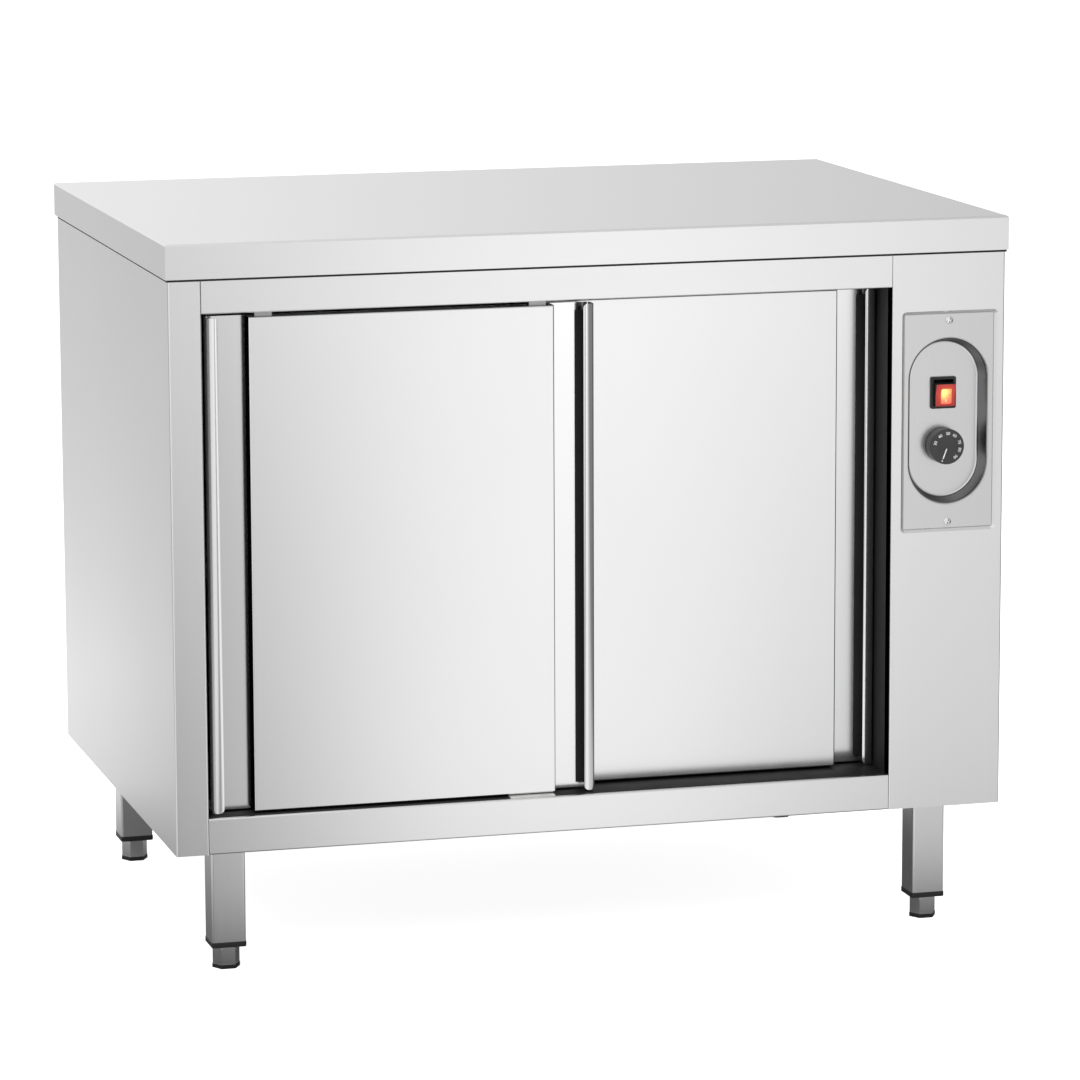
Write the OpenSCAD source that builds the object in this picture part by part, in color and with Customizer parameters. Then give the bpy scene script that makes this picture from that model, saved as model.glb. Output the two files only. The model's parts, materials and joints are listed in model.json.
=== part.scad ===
// Free-standing plate warmer cabinet in stainless sheet: worktop, two top-hung sliding
// doors, a control column at the right and four square legs on levelling feet.
// Millimetres. +X right, -Y front, +Z up. The origin is on the floor, under the middle.

/* [Worktop] */
// Width of the worktop, and of the whole cabinet
width = 1000; // [900:10:1200]
// Depth of the worktop, front to back
depth = 700; // [620:10:800]
// Height of the worktop above the floor
height = 850; // [820:5:900]
// Height of the worktop's turned-down edge
edge_h = 40; // [34:1:50]
// Thickness of the worktop sheet
top_t = 1.5; // [1:0.1:2]
// Radius of the worktop's top edges
top_r = 2.5; // [1.8:0.1:4]
// How far the worktop stands out past the body on each side
overhang = 3; // [2.5:0.5:6]
// Distance between the two stiffeners under the worktop
stiffener_gap = 280; // [200:10:360]

/* [Body] */
// Thickness of the body and liner sheets
sheet_t = 1; // [0.8:0.1:1.2]
// Outside radius of the body's sheet bends
bend_r = 2; // [1.5:0.1:3]
// Width of the left stile
stile_w = 38; // [34:1:60]
// Width of the control column at the right
column_w = 139; // [132:1:180]
// Visible height of the top rail
top_rail_h = 40; // [36:1:60]
// Height of the bottom rail
bottom_rail_h = 42; // [38:1:60]
// Depth of the return flanges beside and above the opening
jamb_d = 15; // [10:1:20]
// Width of the inner flanges along the side panels
flange_w = 20; // [15:1:25]
// Thickness of the insulated back wall
back_wall = 31; // [28:1:45]
// Thickness of the insulation slabs against the liner
slab_t = 25; // [15:1:26]

/* [Doors] */
// How far the two closed doors overlap
overlap = 97; // [94:1:130]
// Gap between the left door's edge and the stile
gap_left = 8; // [4:1:12]
// Gap between the right door's edge and the control column
gap_right = 2; // [1:1:6]
// Gap above the doors
gap_top = 6; // [5:0.5:9]
// Gap below the doors
gap_bottom = 3; // [2.5:0.5:6]
// How far the front door's face lies behind the rails
setback = 10; // [8:1:16]
// Distance from one door's face to the other's
door_pitch = 41; // [38:1:50]
// Depth of the door's raised middle
pan_d = 20; // [18:1:22]
// Width of the grip zone at each side of a door
grip_w = 47.5; // [44:0.5:60]
// Width of the rolled lip on a door's edge
lip_w = 12.5; // [10:0.5:16]
// Radius of the lip's outer bend
lip_r = 4.5; // [3:0.5:5]
// Radius of the lip's trimmed corners
lip_corner_r = 5; // [2:0.5:8]

/* [Hangers and guides] */
// Distance from a door's edge to the middle of its hanger
hanger_inset = 66; // [50:1:90]
// Width of a hanger
hanger_w = 20; // [18:1:26]
// Thickness of a hanger
hanger_t = 2.5; // [2:0.5:3]
// Height of the roller's axle above the door
axle_rise = 26; // [25:1:30]
// Radius of the roller's axle
axle_r = 3; // [2.5:0.1:3.5]
// Outer radius of a door roller
roller_r = 12; // [11:0.5:13]
// Radius of the roller's groove, where it runs on its rail
groove_r = 9.5; // [9:0.1:10]
// Width of a door roller
roller_w = 8; // [7:0.5:9]
// Thickness of the door rails
track_t = 2; // [1.6:0.1:2.2]
// Length of a rubber stop in a rail
stop_l = 10; // [6:1:14]
// Width of the guide plate under the doors
guide_w = 53; // [40:1:60]
// How far the guide lies to the left of the middle of the overlap
guide_shift = 28; // [0:1:28]
// Inside width of the channel behind each door's foot
channel_w = 8; // [7:0.5:10]
// Height of that channel
channel_h = 12; // [10:0.5:16]
// Length of a guide fin
fin_l = 24; // [16:1:26]

/* [Legs] */
// Height of the body above the floor
leg_h = 150; // [130:5:180]
// Side of the square leg tube
leg_w = 40; // [38:1:50]
// Wall of the leg tube
leg_t = 2; // [1.5:0.1:3]
// Distance from the body's side to a leg
leg_inset = 50; // [40:1:70]
// Height of a foot below its leg's cap
foot_h = 27; // [24:1:32]
// Width of a foot across its corners
foot_w = 33; // [30:1:36]
// Height of the visible collar of a leg cap
cap_h = 6; // [4:0.5:8]
// Radius of a foot's stud
stud_r = 5; // [4:0.5:6]
// How far a foot can be screwed out
foot_travel = 20; // [10:1:25]

/* [Controls] */
// Width of the shallow tray in the control column
tray_w = 119; // [114:1:126]
// Height of that tray
tray_h = 262; // [250:0.5:280]
// Distance from the worktop's lower edge down to the tray's middle
tray_drop = 199.5; // [170:0.5:250]
// Depth of the tray
tray_d = 4; // [3:0.5:6]
// Radius of the tray's corners
tray_r = 6; // [5:0.5:8]
// Distance of the tray's middle to the right of the column's middle
tray_shift = 2; // [0:0.5:4]
// Width of the stadium-shaped recess
recess_w = 96; // [90:1:98]
// Height of that recess
recess_h = 194; // [190:1:210]
// Depth of that recess
recess_d = 20; // [18:1:28]
// How far the recess's wall leans in towards its floor
recess_draft = 5; // [2:0.5:8]
// Thickness of the control plate
plate_t = 1.2; // [1:0.1:1.5]
// Height of the switch above the recess's middle
switch_up = 31; // [30:1:44]
// Distance of the dial below the recess's middle
dial_down = 31; // [30:1:44]
// Width of the switch's frame
switch_w = 31; // [28:0.5:34]
// Height of the switch's frame
switch_h = 37.5; // [34:0.5:42]
// Diameter of the dial
dial_dia = 42; // [36:1:46]
// Height of the dial
dial_h = 17; // [12:1:20]
// Distance of the control plate's screws from the tray's ends
screw_inset = 12; // [8:0.25:12]

/* [Heating] */
// Width of the heater box, front to back
heater_w = 300; // [280:5:340]
// Height of the heater box
heater_h = 230; // [210:5:260]
// Depth of the heater box
heater_d = 60; // [55:1:64]
// Radius of the ring-shaped heating element
ring_r = 85; // [80:1:92]
// Radius of the element's tube
element_r = 4; // [3:0.5:5]
// Radius of the fan
fan_r = 60; // [50:1:68]
// Height of the middle shelf above the cavity's floor
shelf_up = 280; // [200:5:360]
// Gap between the shelf and the liners
shelf_gap = 4; // [2:1:10]
// Radius of the bore in the cable gland
gland_r = 5; // [4:0.5:6]

/* [Hidden] */

// Clearances: pieces that run past each other, a shaft in its bore, a piece in its seat
run_gap = 0.3;
bore_gap = 0.05;
seat_gap = 0.2;

// Body
bx = width / 2 - overhang;
by = depth / 2 - overhang;
body_z0 = leg_h;
body_z1 = height - top_t;
skirt_z = height - edge_h;
open_x0 = -bx + stile_w;
open_x1 = bx - column_w;
open_z0 = body_z0 + bottom_rail_h;
open_z1 = skirt_z - top_rail_h;
open_w = open_x1 - open_x0;

// Doors
door_w = (open_w - gap_left - gap_right + overlap) / 2;
door_z0 = open_z0 + gap_bottom;
door_z1 = open_z1 - gap_top;
travel = open_w - door_w - gap_left - gap_right;
door_x = [open_x0 + gap_left, open_x1 - gap_right - door_w];
door_y = [-by + setback, -by + setback + door_pitch];
door_d = pan_d + sheet_t;
channel_d = channel_w + 2 * sheet_t;

// Rollers and rails, measured from a door's face and top
roller_dy = setback + jamb_d - 12;
axle_z = door_z1 + axle_rise;
lip_z = axle_z - groove_r - run_gap;
foot_z = lip_z - 4 - track_t;
beam_t = 2;
beam_z = axle_z + roller_r + 2 + track_t;
web_dy = roller_w / 2 + 3 + track_t;
stop_h = 12;

// Cavity behind the doors
cav_y0 = door_y[1] + door_d + channel_d + 3;
cav_y1 = by - back_wall;
shelf_z = open_z0 + shelf_up;
shelf_t = 1.2;
shelf_edge = 20;
shelf_return = 10;
support_w = 22;
support_h = 16;

// Legs and feet
leg_x = bx - leg_inset - leg_w / 2;
leg_y = by - leg_inset - leg_w / 2;
leg_z0 = foot_h + cap_h;
leg_plate_t = 6;
bolt_r = 4.95;
bolt_head_r = 9.8;
bolt_head_h = 6.4;
plug_l = 25;
base_w = leg_w + 10;
base_h = 25;
base_t = 2;
stud_top = foot_h + 15 + foot_travel;

// Control column
col_x = (open_x1 + bx) / 2 + tray_shift;
tray_z = skirt_z - tray_drop;
tray_y = -by + tray_d;
tray_floor_in = tray_d + 0.58 * sheet_t + run_gap;
plate_screws = tray_h - 2 * screw_inset;
plate_y = tray_y - plate_t;
floor_y = plate_y + recess_d;
recess_c = (recess_h - recess_w) / 2;
switch_z = tray_z + switch_up;
dial_z = tray_z - dial_down;
switch_wall = 3.2;
switch_frame_d = 3;
rocker_w = switch_w - 2 * switch_wall - 2 * run_gap;
rocker_h = switch_h - 2 * switch_wall - 2 * run_gap;
rocker_y = floor_y + 4;
rocker_pin_r = 1.5;
rocker_tilt = 8;
rocker_rise = 13;
shaft_r = 3;

// Heater, on the outside of the right liner
liner_x = open_x1 + sheet_t;
heater_y = (cav_y0 + cav_y1) / 2;
heater_z = open_z0 + 23 + heater_h / 2;
heater_x = liner_x + heater_d;
fan_shaft_r = 4;
motor_r = 32;
motor_l = 40;
motor_foot = motor_r + 8;
motor_foot_t = 5;
slot_h = 6;
cold_end_y = 20;

gland_x = liner_x + 21;
gland_y = by - 77;
gland_nut_r = 14;
gland_thread_r = 10;
gland_drop = 22;

// Basic shapes

// Box between two values on each axis
module block(x, y, z) {
  translate([x[0], y[0], z[0]])
    cube([x[1] - x[0], y[1] - y[0], z[1] - z[0]]);
}

// A flat section in Y and Z, run along X
module along_x(a, b) {
  translate([a, 0, 0])
    rotate([90, 0, 90])
      linear_extrude(b - a)
        children();
}

// A flat section in X and Z, run along Y
module along_y(a, b) {
  translate([0, b, 0])
    rotate([90, 0, 0])
      linear_extrude(b - a)
        children();
}

// A flat section in X and Y, run along Z
module along_z(a, b) {
  translate([0, 0, a])
    linear_extrude(b - a)
      children();
}

// Round bar along X or Y from one value to another
module bar_x(r, a, b) {
  translate([a, 0, 0])
    rotate([0, 90, 0])
      cylinder(r = r, h = b - a, $fn = 48);
}

module bar_y(r, a, b) {
  translate([0, a, 0])
    rotate([-90, 0, 0])
      cylinder(r = r, h = b - a, $fn = 48);
}

function unit(v) = v / norm(v);
function left_of(v) = [-v.y, v.x];
function turn(a, b) = a.x * b.y - a.y * b.x;

// A path with its corners rounded: rl is the radius of left turns, rr of right turns
function rounded(p, rl, rr, n) = [
  for (i = [0 : len(p) - 1])
    each (i == 0 || i == len(p) - 1) ? [p[i]] :
      let (
        a = unit(p[i - 1] - p[i]),
        b = unit(p[i + 1] - p[i]),
        r = turn(-a, b) > 0 ? rl : rr,
        half = acos(a * b) / 2,
        c = p[i] + unit(a + b) * r / sin(half),
        s = p[i] + a * r / tan(half) - c,
        e = p[i] + b * r / tan(half) - c,
        a0 = atan2(s.y, s.x),
        d = atan2(e.y, e.x) - a0,
        sweep = d > 180 ? d - 360 : d < -180 ? d + 360 : d
      )
      [for (k = [0 : n]) c + r * [cos(a0 + sweep * k / n), sin(a0 + sweep * k / n)]]
];

// The same path moved sideways by t: to its left if t is positive
function shifted(p, t) = [
  for (i = [0 : len(p) - 1])
    let (
      a = left_of(unit(i > 0 ? p[i] - p[i - 1] : p[1] - p[0])),
      b = left_of(unit(i < len(p) - 1 ? p[i + 1] - p[i] : p[i] - p[i - 1]))
    )
    p[i] + (a + b) / (1 + a * b) * t
];

function backwards(p) = [for (i = [len(p) - 1 : -1 : 0]) p[i]];

// Section of a bent sheet: one face follows the path p, the other lies t beside it.
// Every bend has the outside radius r.
module sheet(p, t, r = bend_r, n = 4) {
  inner = r - abs(t);
  face = t > 0 ? rounded(p, r, inner, n) : rounded(p, inner, r, n);
  other = t > 0 ? rounded(shifted(p, t), inner, r, n) : rounded(shifted(p, t), r, inner, n);
  polygon(concat(face, backwards(other)));
}

// Rectangle with round corners, about the origin
module round_rect(w, h, r, n = 6) {
  polygon([
    for (q = [0 : 3])
      for (k = [0 : n])
        let (
          a = 90 * q + 90 * k / n,
          sx = (q == 0 || q == 3) ? 1 : -1,
          sy = q < 2 ? 1 : -1
        )
        [sx * (w / 2 - r) + r * cos(a), sy * (h / 2 - r) + r * sin(a)]
  ]);
}

// Section with two round corners on its upper side
module dome_section(w, h, r, n = 4) {
  polygon(concat(
    [[-w / 2, 0]],
    [for (k = [n : -1 : 0]) [-w / 2 + r - r * sin(90 * k / n), h - r + r * cos(90 * k / n)]],
    [for (k = [0 : n]) [w / 2 - r + r * sin(90 * k / n), h - r + r * cos(90 * k / n)]],
    [[w / 2, 0]]
  ));
}

// Open tray with round outer edges: w by d, h high, mouth at z = 0
module tray(w, d, h, t, r) {
  difference() {
    intersection() {
      along_y(-d / 2, d / 2) dome_section(w, h, r);
      along_x(-w / 2, w / 2) dome_section(d, h, r);
    }
    block([t - w / 2, w / 2 - t], [t - d / 2, d / 2 - t], [-1, h - t]);
  }
}

// Low round screw head with a cross slot, and its shank, along +Y from the head's back
module screw_y(head_r, head_h, shank_r, shank_l) {
  difference() {
    union() {
      bar_y(head_r, -head_h, 0);
      bar_y(shank_r, 0, shank_l);
    }
    block([-head_r * 0.55, head_r * 0.55], [-head_h - 1, -head_h * 0.45], [-0.6, 0.6]);
    block([-0.6, 0.6], [-head_h - 1, -head_h * 0.45], [-head_r * 0.55, head_r * 0.55]);
  }
}

// Worktop

module worktop() {
  color("gainsboro")
    translate([0, 0, skirt_z])
      tray(width, depth, edge_h, top_t, top_r);
}

// Hat sections welded under the worktop
module worktop_stiffeners() {
  far = bx - flange_w - 7;
  color("silver")
    for (y = [-stiffener_gap / 2, stiffener_gap / 2])
      along_x(-far, far)
        translate([y, body_z1])
          sheet([[-30, 0], [-18, 0], [-18, -base_h], [18, -base_h], [18, 0], [30, 0]],
            -1.5, 3, 3);
}

// Outer body

// Back edge hole positions for the back panel's screws
screw_z = [for (k = [0 : 5]) body_z0 + 40 + k * (skirt_z - body_z0 - 80) / 5];

module screw_holes(r) {
  for (sx = [-1, 1], z = screw_z)
    translate([sx * (bx - jamb_d / 2), by, z])
      bar_y(r, -5, 5);
}

module side_flanges(sx) {
  wall = bx - sheet_t / 2;
  inner = bx - flange_w;
  for (z = [body_z0, body_z1 - sheet_t]) {
    block(sx > 0 ? [inner, wall] : [-wall, -inner],
      [-by + sheet_t / 2, by - sheet_t / 2], [z, z + sheet_t]);
    block(sx > 0 ? [open_x1, wall] : [-wall, open_x0],
      [-by + sheet_t / 2, -by + jamb_d], [z, z + sheet_t]);
  }
}

module left_side_panel() {
  color("lightgray")
    difference() {
      union() {
        along_z(body_z0, body_z1)
          sheet([[open_x0, -by + jamb_d], [open_x0, -by], [-bx, -by], [-bx, by],
            [-bx + jamb_d, by]], -sheet_t);
        side_flanges(-1);
      }
      screw_holes(2.1);
    }
}

module tray_solid(grow, y0, y1) {
  run = y1 - y0;
  hull() {
    translate([col_x, y0, tray_z])
      rotate([-90, 0, 0])
        linear_extrude(0.01)
          round_rect(tray_w + 2 * grow, tray_h + 2 * grow, tray_r + grow, 8);
    translate([col_x, y1 - 0.01, tray_z])
      rotate([-90, 0, 0])
        linear_extrude(0.01)
          round_rect(tray_w - 2 * run + 2 * grow, tray_h - 2 * run + 2 * grow,
            max(1.5, tray_r - run) + grow, 8);
  }
}

module stadium(w, h) {
  c = (h - w) / 2;
  square([w, 2 * c], center = true);
  for (s = [-1, 1])
    translate([0, s * c])
      circle(r = w / 2, $fn = 96);
}

// Side wall and control column in one sheet, with a shallow tray pressed into the front
module right_side_panel() {
  color("lightgray")
    difference() {
      union() {
        difference() {
          union() {
            along_z(body_z0, body_z1)
              sheet([[open_x1, -by + jamb_d], [open_x1, -by], [bx, -by], [bx, by],
                [bx - jamb_d, by]], sheet_t);
            side_flanges(1);
          }
          translate([col_x, -by + sheet_t / 2, tray_z])
            rotate([90, 0, 0])
              linear_extrude(2 * sheet_t, center = true)
                round_rect(tray_w, tray_h, tray_r, 8);
        }
        tray_solid(sheet_t * 0.42, -by + 0.05, tray_y + sheet_t);
      }
      tray_solid(-sheet_t * 0.58, -by - 0.02, tray_y);
      translate([col_x, tray_y, tray_z])
        rotate([90, 0, 0])
          linear_extrude(4 * sheet_t, center = true)
            stadium(recess_w + 8, recess_h + 8);
      for (s = [-1, 1])
        translate([col_x, 0, tray_z + s * plate_screws / 2])
          bar_y(2, tray_y - 1, tray_y + 3);
      screw_holes(2.1);
    }
}

module back_panel() {
  slot_w = column_w - 60;
  color("silver")
    difference() {
      block([-bx + 2, bx - 2], [by, by + sheet_t], [body_z0, skirt_z - 2]);
      for (k = [0 : 7], z = [open_z0 + 8, tray_z + 40])
        translate([0, 0, z + k * 2 * slot_h])
          block([col_x - slot_w / 2, col_x + slot_w / 2], [by - 1, by + 2], [0, slot_h]);
      screw_holes(2.1);
    }
}

module back_screws() {
  color("gainsboro")
    for (sx = [-1, 1], z = screw_z)
      translate([sx * (bx - jamb_d / 2), by + sheet_t, z])
        mirror([0, 1, 0])
          screw_y(4, min(1.4, overhang - sheet_t - 0.3), 1.95, 8);
}

module bottom_panel() {
  color("silver")
    difference() {
      block([-bx + flange_w, bx - flange_w], [-by + jamb_d, by],
        [body_z0, body_z0 + sheet_t]);
      leg_holes(bolt_r + 0.1);
      translate([gland_x, gland_y, body_z0 - 1])
        cylinder(r = gland_thread_r + 0.1, h = 4, $fn = 48);
    }
}

module top_rail() {
  color("lightgray")
    along_x(open_x0, open_x1)
      sheet([[-by + jamb_d - 3, open_z1], [-by, open_z1], [-by, body_z1],
        [-by + flange_w, body_z1]], -sheet_t);
}

// The rail's upper flange runs back under both doors to the cavity's floor
module bottom_rail() {
  color("lightgray")
    along_x(open_x0, open_x1)
      sheet([[-by + jamb_d, body_z0], [-by, body_z0], [-by, open_z0],
        [cav_y0, open_z0]], -sheet_t);
}

// Beam over the doors, which carries both rails
module track_beam() {
  color("silver")
    union() {
      block([open_x0, open_x1], [-by + sheet_t, cav_y0 + beam_t], [beam_z, beam_z + beam_t]);
      block([open_x0, open_x1], [cav_y0, cav_y0 + beam_t], [open_z1, beam_z]);
    }
}

// Liner

module liner_left() {
  color("lightgray")
    block([open_x0 - sheet_t, open_x0], [-by + jamb_d, cav_y1 + sheet_t],
      [open_z0 - sheet_t, beam_z + beam_t]);
}

// The right liner is pierced for the warm air: in at the middle, out at both sides
module liner_right() {
  out_y = heater_w / 2 - 25;
  color("lightgray")
    difference() {
      block([open_x1, liner_x], [-by + jamb_d, cav_y1 + sheet_t],
        [open_z0 - sheet_t, beam_z + beam_t]);
      for (k = [-3 : 3])
        translate([0, heater_y, heater_z + k * 2.4 * slot_h])
          block([open_x1 - 1, liner_x + 1], [-fan_r * 0.7, fan_r * 0.7],
            [-slot_h / 2, slot_h / 2]);
      for (s = [-1, 1], k = [-3 : 3])
        translate([0, heater_y + s * out_y, heater_z + k * 3.5 * slot_h])
          block([open_x1 - 1, liner_x + 1], [-15, 15], [-slot_h / 2, slot_h / 2]);
    }
}

module liner_back() {
  color("lightgray")
    block([open_x0, open_x1], [cav_y1, cav_y1 + sheet_t], [open_z0, open_z1]);
}

module liner_floor() {
  color("lightgray")
    block([open_x0, open_x1], [cav_y0, cav_y1 + sheet_t],
      [open_z0 - sheet_t, open_z0]);
}

module liner_ceiling() {
  color("lightgray")
    block([open_x0, open_x1], [cav_y0 + beam_t, cav_y1 + sheet_t],
      [open_z1, open_z1 + sheet_t]);
}

// Mineral-wool slabs on the outside of the liner: left, back, ceiling and floor
module insulation() {
  x0 = open_x0 - sheet_t;
  y0 = -by + jamb_d + 2;
  y1 = cav_y1 + sheet_t;
  color("khaki") {
    block([x0 - slab_t, x0], [y0, y1 + slab_t], [open_z0 - sheet_t, beam_z]);
    block([x0, open_x1], [y1, y1 + slab_t], [open_z0 - sheet_t, beam_z]);
    block([open_x0, open_x1], [cav_y0 + beam_t, y1],
      [open_z1 + sheet_t, open_z1 + sheet_t + slab_t]);
    difference() {
      block([open_x0, open_x1], [y0, y1], [open_z0 - sheet_t - slab_t, open_z0 - sheet_t]);
      block([-leg_x - base_w / 2 - 1, -leg_x + base_w / 2 + 1], [-by, by],
        [body_z0, body_z0 + sheet_t + base_h + 1]);
    }
  }
}

// Structure over the legs

module leg_holes(r) {
  for (sx = [-1, 1], sy = [-1, 1])
    translate([sx * leg_x, sy * leg_y, body_z0 - 20])
      cylinder(r = r, h = 60, $fn = 48);
}

module base_channels() {
  z0 = body_z0 + sheet_t;
  color("darkgray")
    difference() {
      for (sx = [-1, 1])
        along_y(-by + jamb_d + 3, by - back_wall)
          translate([sx * leg_x, 0])
            sheet([[-base_w / 2, z0 + base_h], [-base_w / 2, z0], [base_w / 2, z0],
              [base_w / 2, z0 + base_h]], base_t, 3, 3);
      leg_holes(bolt_r + 0.1);
    }
}

module leg_bolts() {
  z0 = body_z0 + sheet_t + base_t;
  color("silver")
    for (sx = [-1, 1], sy = [-1, 1])
      translate([sx * leg_x, sy * leg_y, 0]) {
        translate([0, 0, z0])
          cylinder(r = bolt_head_r, h = bolt_head_h, $fn = 6);
        translate([0, 0, body_z0 - 18])
          cylinder(r = bolt_r, h = z0 - body_z0 + 18.5, $fn = 48);
      }
}

// Square leg tube, with a threaded plate welded into its top
module leg(sx, sy) {
  color("silver")
    translate([sx * leg_x, sy * leg_y, 0])
      difference() {
        along_z(leg_z0, body_z0) round_rect(leg_w, leg_w, 3);
        along_z(leg_z0 - 1, body_z0 - leg_plate_t)
          round_rect(leg_w - 2 * leg_t, leg_w - 2 * leg_t, max(0.5, 3 - leg_t));
        translate([0, 0, body_z0 - leg_plate_t - 1])
          cylinder(r = bolt_r + 0.1, h = leg_plate_t + 2, $fn = 48);
      }
}

module leg_front_left() { leg(-1, -1); }
module leg_front_right() { leg(1, -1); }
module leg_back_left() { leg(-1, 1); }
module leg_back_right() { leg(1, 1); }

// Black plugs in the leg tubes, threaded for the feet
module leg_caps() {
  plug = leg_w - 2 * leg_t - 2 * seat_gap;
  color("dimgray")
    for (sx = [-1, 1], sy = [-1, 1])
      translate([sx * leg_x, sy * leg_y, 0])
        difference() {
          union() {
            along_z(foot_h, leg_z0) round_rect(leg_w + 1, leg_w + 1, 3);
            along_z(leg_z0, leg_z0 + plug_l) round_rect(plug, plug, 1);
          }
          translate([0, 0, foot_h - 1])
            cylinder(r = stud_r + bore_gap, h = cap_h + plug_l + 5, $fn = 48);
        }
}

// Hexagonal foot with a round shoulder under the cap, a base ring and a stud
module foot(sx, sy) {
  base = 5;
  color("gray")
    translate([sx * leg_x, sy * leg_y, 0]) {
      cylinder(r = foot_w / 2, h = base, $fn = 6);
      intersection() {
        translate([0, 0, base])
          cylinder(r = foot_w / 2 - 0.5, h = foot_h - base - run_gap, $fn = 6);
        rotate_extrude($fn = 96)
          polygon(concat(
            [[0, base], [foot_w / 2, base], [foot_w / 2, foot_h - run_gap - 9]],
            [for (k = [1 : 6]) [foot_w / 2 - 2.5 * (1 - cos(15 * k)),
              foot_h - run_gap - 9 + 9 * sin(15 * k)]],
            [[0, foot_h - run_gap]]
          ));
      }
      translate([0, 0, base])
        cylinder(r = stud_r, h = stud_top - base, $fn = 48);
    }
}

module foot_front_left() { foot(-1, -1); }
module foot_front_right() { foot(1, -1); }
module foot_back_left() { foot(-1, 1); }
module foot_back_right() { foot(1, 1); }

// Inside fittings

module shelf() {
  x0 = open_x0 + shelf_gap;
  x1 = open_x1 - shelf_gap;
  y0 = cav_y0 + 15;
  y1 = cav_y1 - 20;
  color("lightgray")
    along_x(x0, x1)
      sheet([[y0 + shelf_return, shelf_z - shelf_edge], [y0, shelf_z - shelf_edge],
        [y0, shelf_z], [y1, shelf_z], [y1, shelf_z - shelf_edge],
        [y1 - shelf_return, shelf_z - shelf_edge]], -shelf_t, 2, 3);
}

// Angle rails on both liners, under the shelf
module shelf_supports() {
  z = shelf_z - shelf_t;
  color("darkgray") {
    along_y(cav_y0 + 20, cav_y1 - 25)
      sheet([[open_x0, z - support_h], [open_x0, z], [open_x0 + support_w, z]],
        -1.5, 2.5, 3);
    along_y(cav_y0 + 20, cav_y1 - 25)
      sheet([[open_x1, z - support_h], [open_x1, z], [open_x1 - support_w, z]],
        1.5, 2.5, 3);
  }
}

// Hook-shaped rails: each roller runs on the turned-up edge
module door_tracks() {
  color("silver")
    for (d = [0, 1])
      along_x(open_x0 + 2, open_x1 - 2)
        translate([door_y[d] + roller_dy, 0])
          sheet([[-6, beam_z], [web_dy, beam_z], [web_dy, foot_z],
            [-track_t / 2, foot_z], [-track_t / 2, lip_z]], -track_t, track_t + 0.4, 3);
}

// Rubber blocks in the rails: they stop the rollers at both ends of a door's travel
module track_stops() {
  color("dimgray")
    for (d = [0, 1]) {
      first = door_x[d] + hanger_inset - roller_r - run_gap - (d == 1 ? travel : 0);
      last = door_x[d] + door_w - hanger_inset + roller_r + run_gap + (d == 0 ? travel : 0);
      for (x = [first - stop_l, last])
        along_x(x, x + stop_l)
          translate([door_y[d] + roller_dy, foot_z + track_t])
            polygon([[track_t / 2 + 0.6, 0], [web_dy - track_t - 0.6, 0],
              [web_dy - track_t, 0.6], [web_dy - track_t, stop_h], [track_t / 2, stop_h],
              [track_t / 2, 0.6]]);
    }
}

// Plate with two upright fins, one in each door's channel
module bottom_guide() {
  x = (door_x[1] + door_x[0] + door_w) / 2 - guide_shift;
  plate = 1.5;
  fin_t = channel_w - 3;
  color("lightgray")
    union() {
      block([x - guide_w / 2, x + guide_w / 2], [-by + 4, cav_y0 - 3],
        [open_z0, open_z0 + plate]);
      for (d = [0, 1])
        translate([x, door_y[d] + door_d + channel_d / 2, open_z0])
          block([-fin_l / 2, fin_l / 2], [-fin_t / 2, fin_t / 2],
            [0, gap_bottom + channel_h - sheet_t - 1.5]);
    }
}

// Controls

// Face of the recess as a half section: radius from the axis, height towards the front
recess_half = [[0, -recess_d], [recess_w / 2 - recess_draft, -recess_d],
  [recess_w / 2, 0], [recess_w / 2 + 4, 0]];

module recess_section() {
  sheet(recess_half, -plate_t, 4, 5);
}

module recess_end() {
  rotate([90, 0, 0])
    rotate_extrude(angle = 180, $fn = 96)
      recess_section();
}

module control_plate() {
  color("lightgray")
    difference() {
      union() {
        difference() {
          translate([col_x, tray_y, tray_z])
            rotate([90, 0, 0])
              linear_extrude(plate_t)
                round_rect(tray_w - 2 * tray_floor_in, tray_h - 2 * tray_floor_in,
                  max(0.5, tray_r - tray_floor_in), 4);
          translate([col_x, tray_y, tray_z])
            rotate([90, 0, 0])
              linear_extrude(6 * plate_t, center = true)
                stadium(recess_w + 4, recess_h + 4);
        }
        translate([col_x, plate_y, tray_z]) {
          translate([0, 0, recess_c])
            recess_end();
          translate([0, 0, -recess_c])
            rotate([0, 180, 0])
              recess_end();
          along_z(-recess_c, recess_c)
            mirror([0, 1]) {
              recess_section();
              mirror([1, 0])
                recess_section();
            }
        }
      }
      block([col_x - switch_w / 2 + 1.8, col_x + switch_w / 2 - 1.8],
        [floor_y - 1, floor_y + 3],
        [switch_z - switch_h / 2 + 1.8, switch_z + switch_h / 2 - 1.8]);
      translate([col_x, 0, dial_z])
        bar_y(shaft_r + 1, floor_y - 1, floor_y + 3);
      for (s = [-1, 1])
        translate([col_x, 0, tray_z + s * plate_screws / 2])
          bar_y(2, plate_y - 1, plate_y + 3);
    }
}

module control_plate_screws() {
  color("gainsboro")
    for (s = [-1, 1])
      translate([col_x, plate_y, tray_z + s * plate_screws / 2])
        screw_y(4.7, 1.8, 1.9, 8);
}

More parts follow.
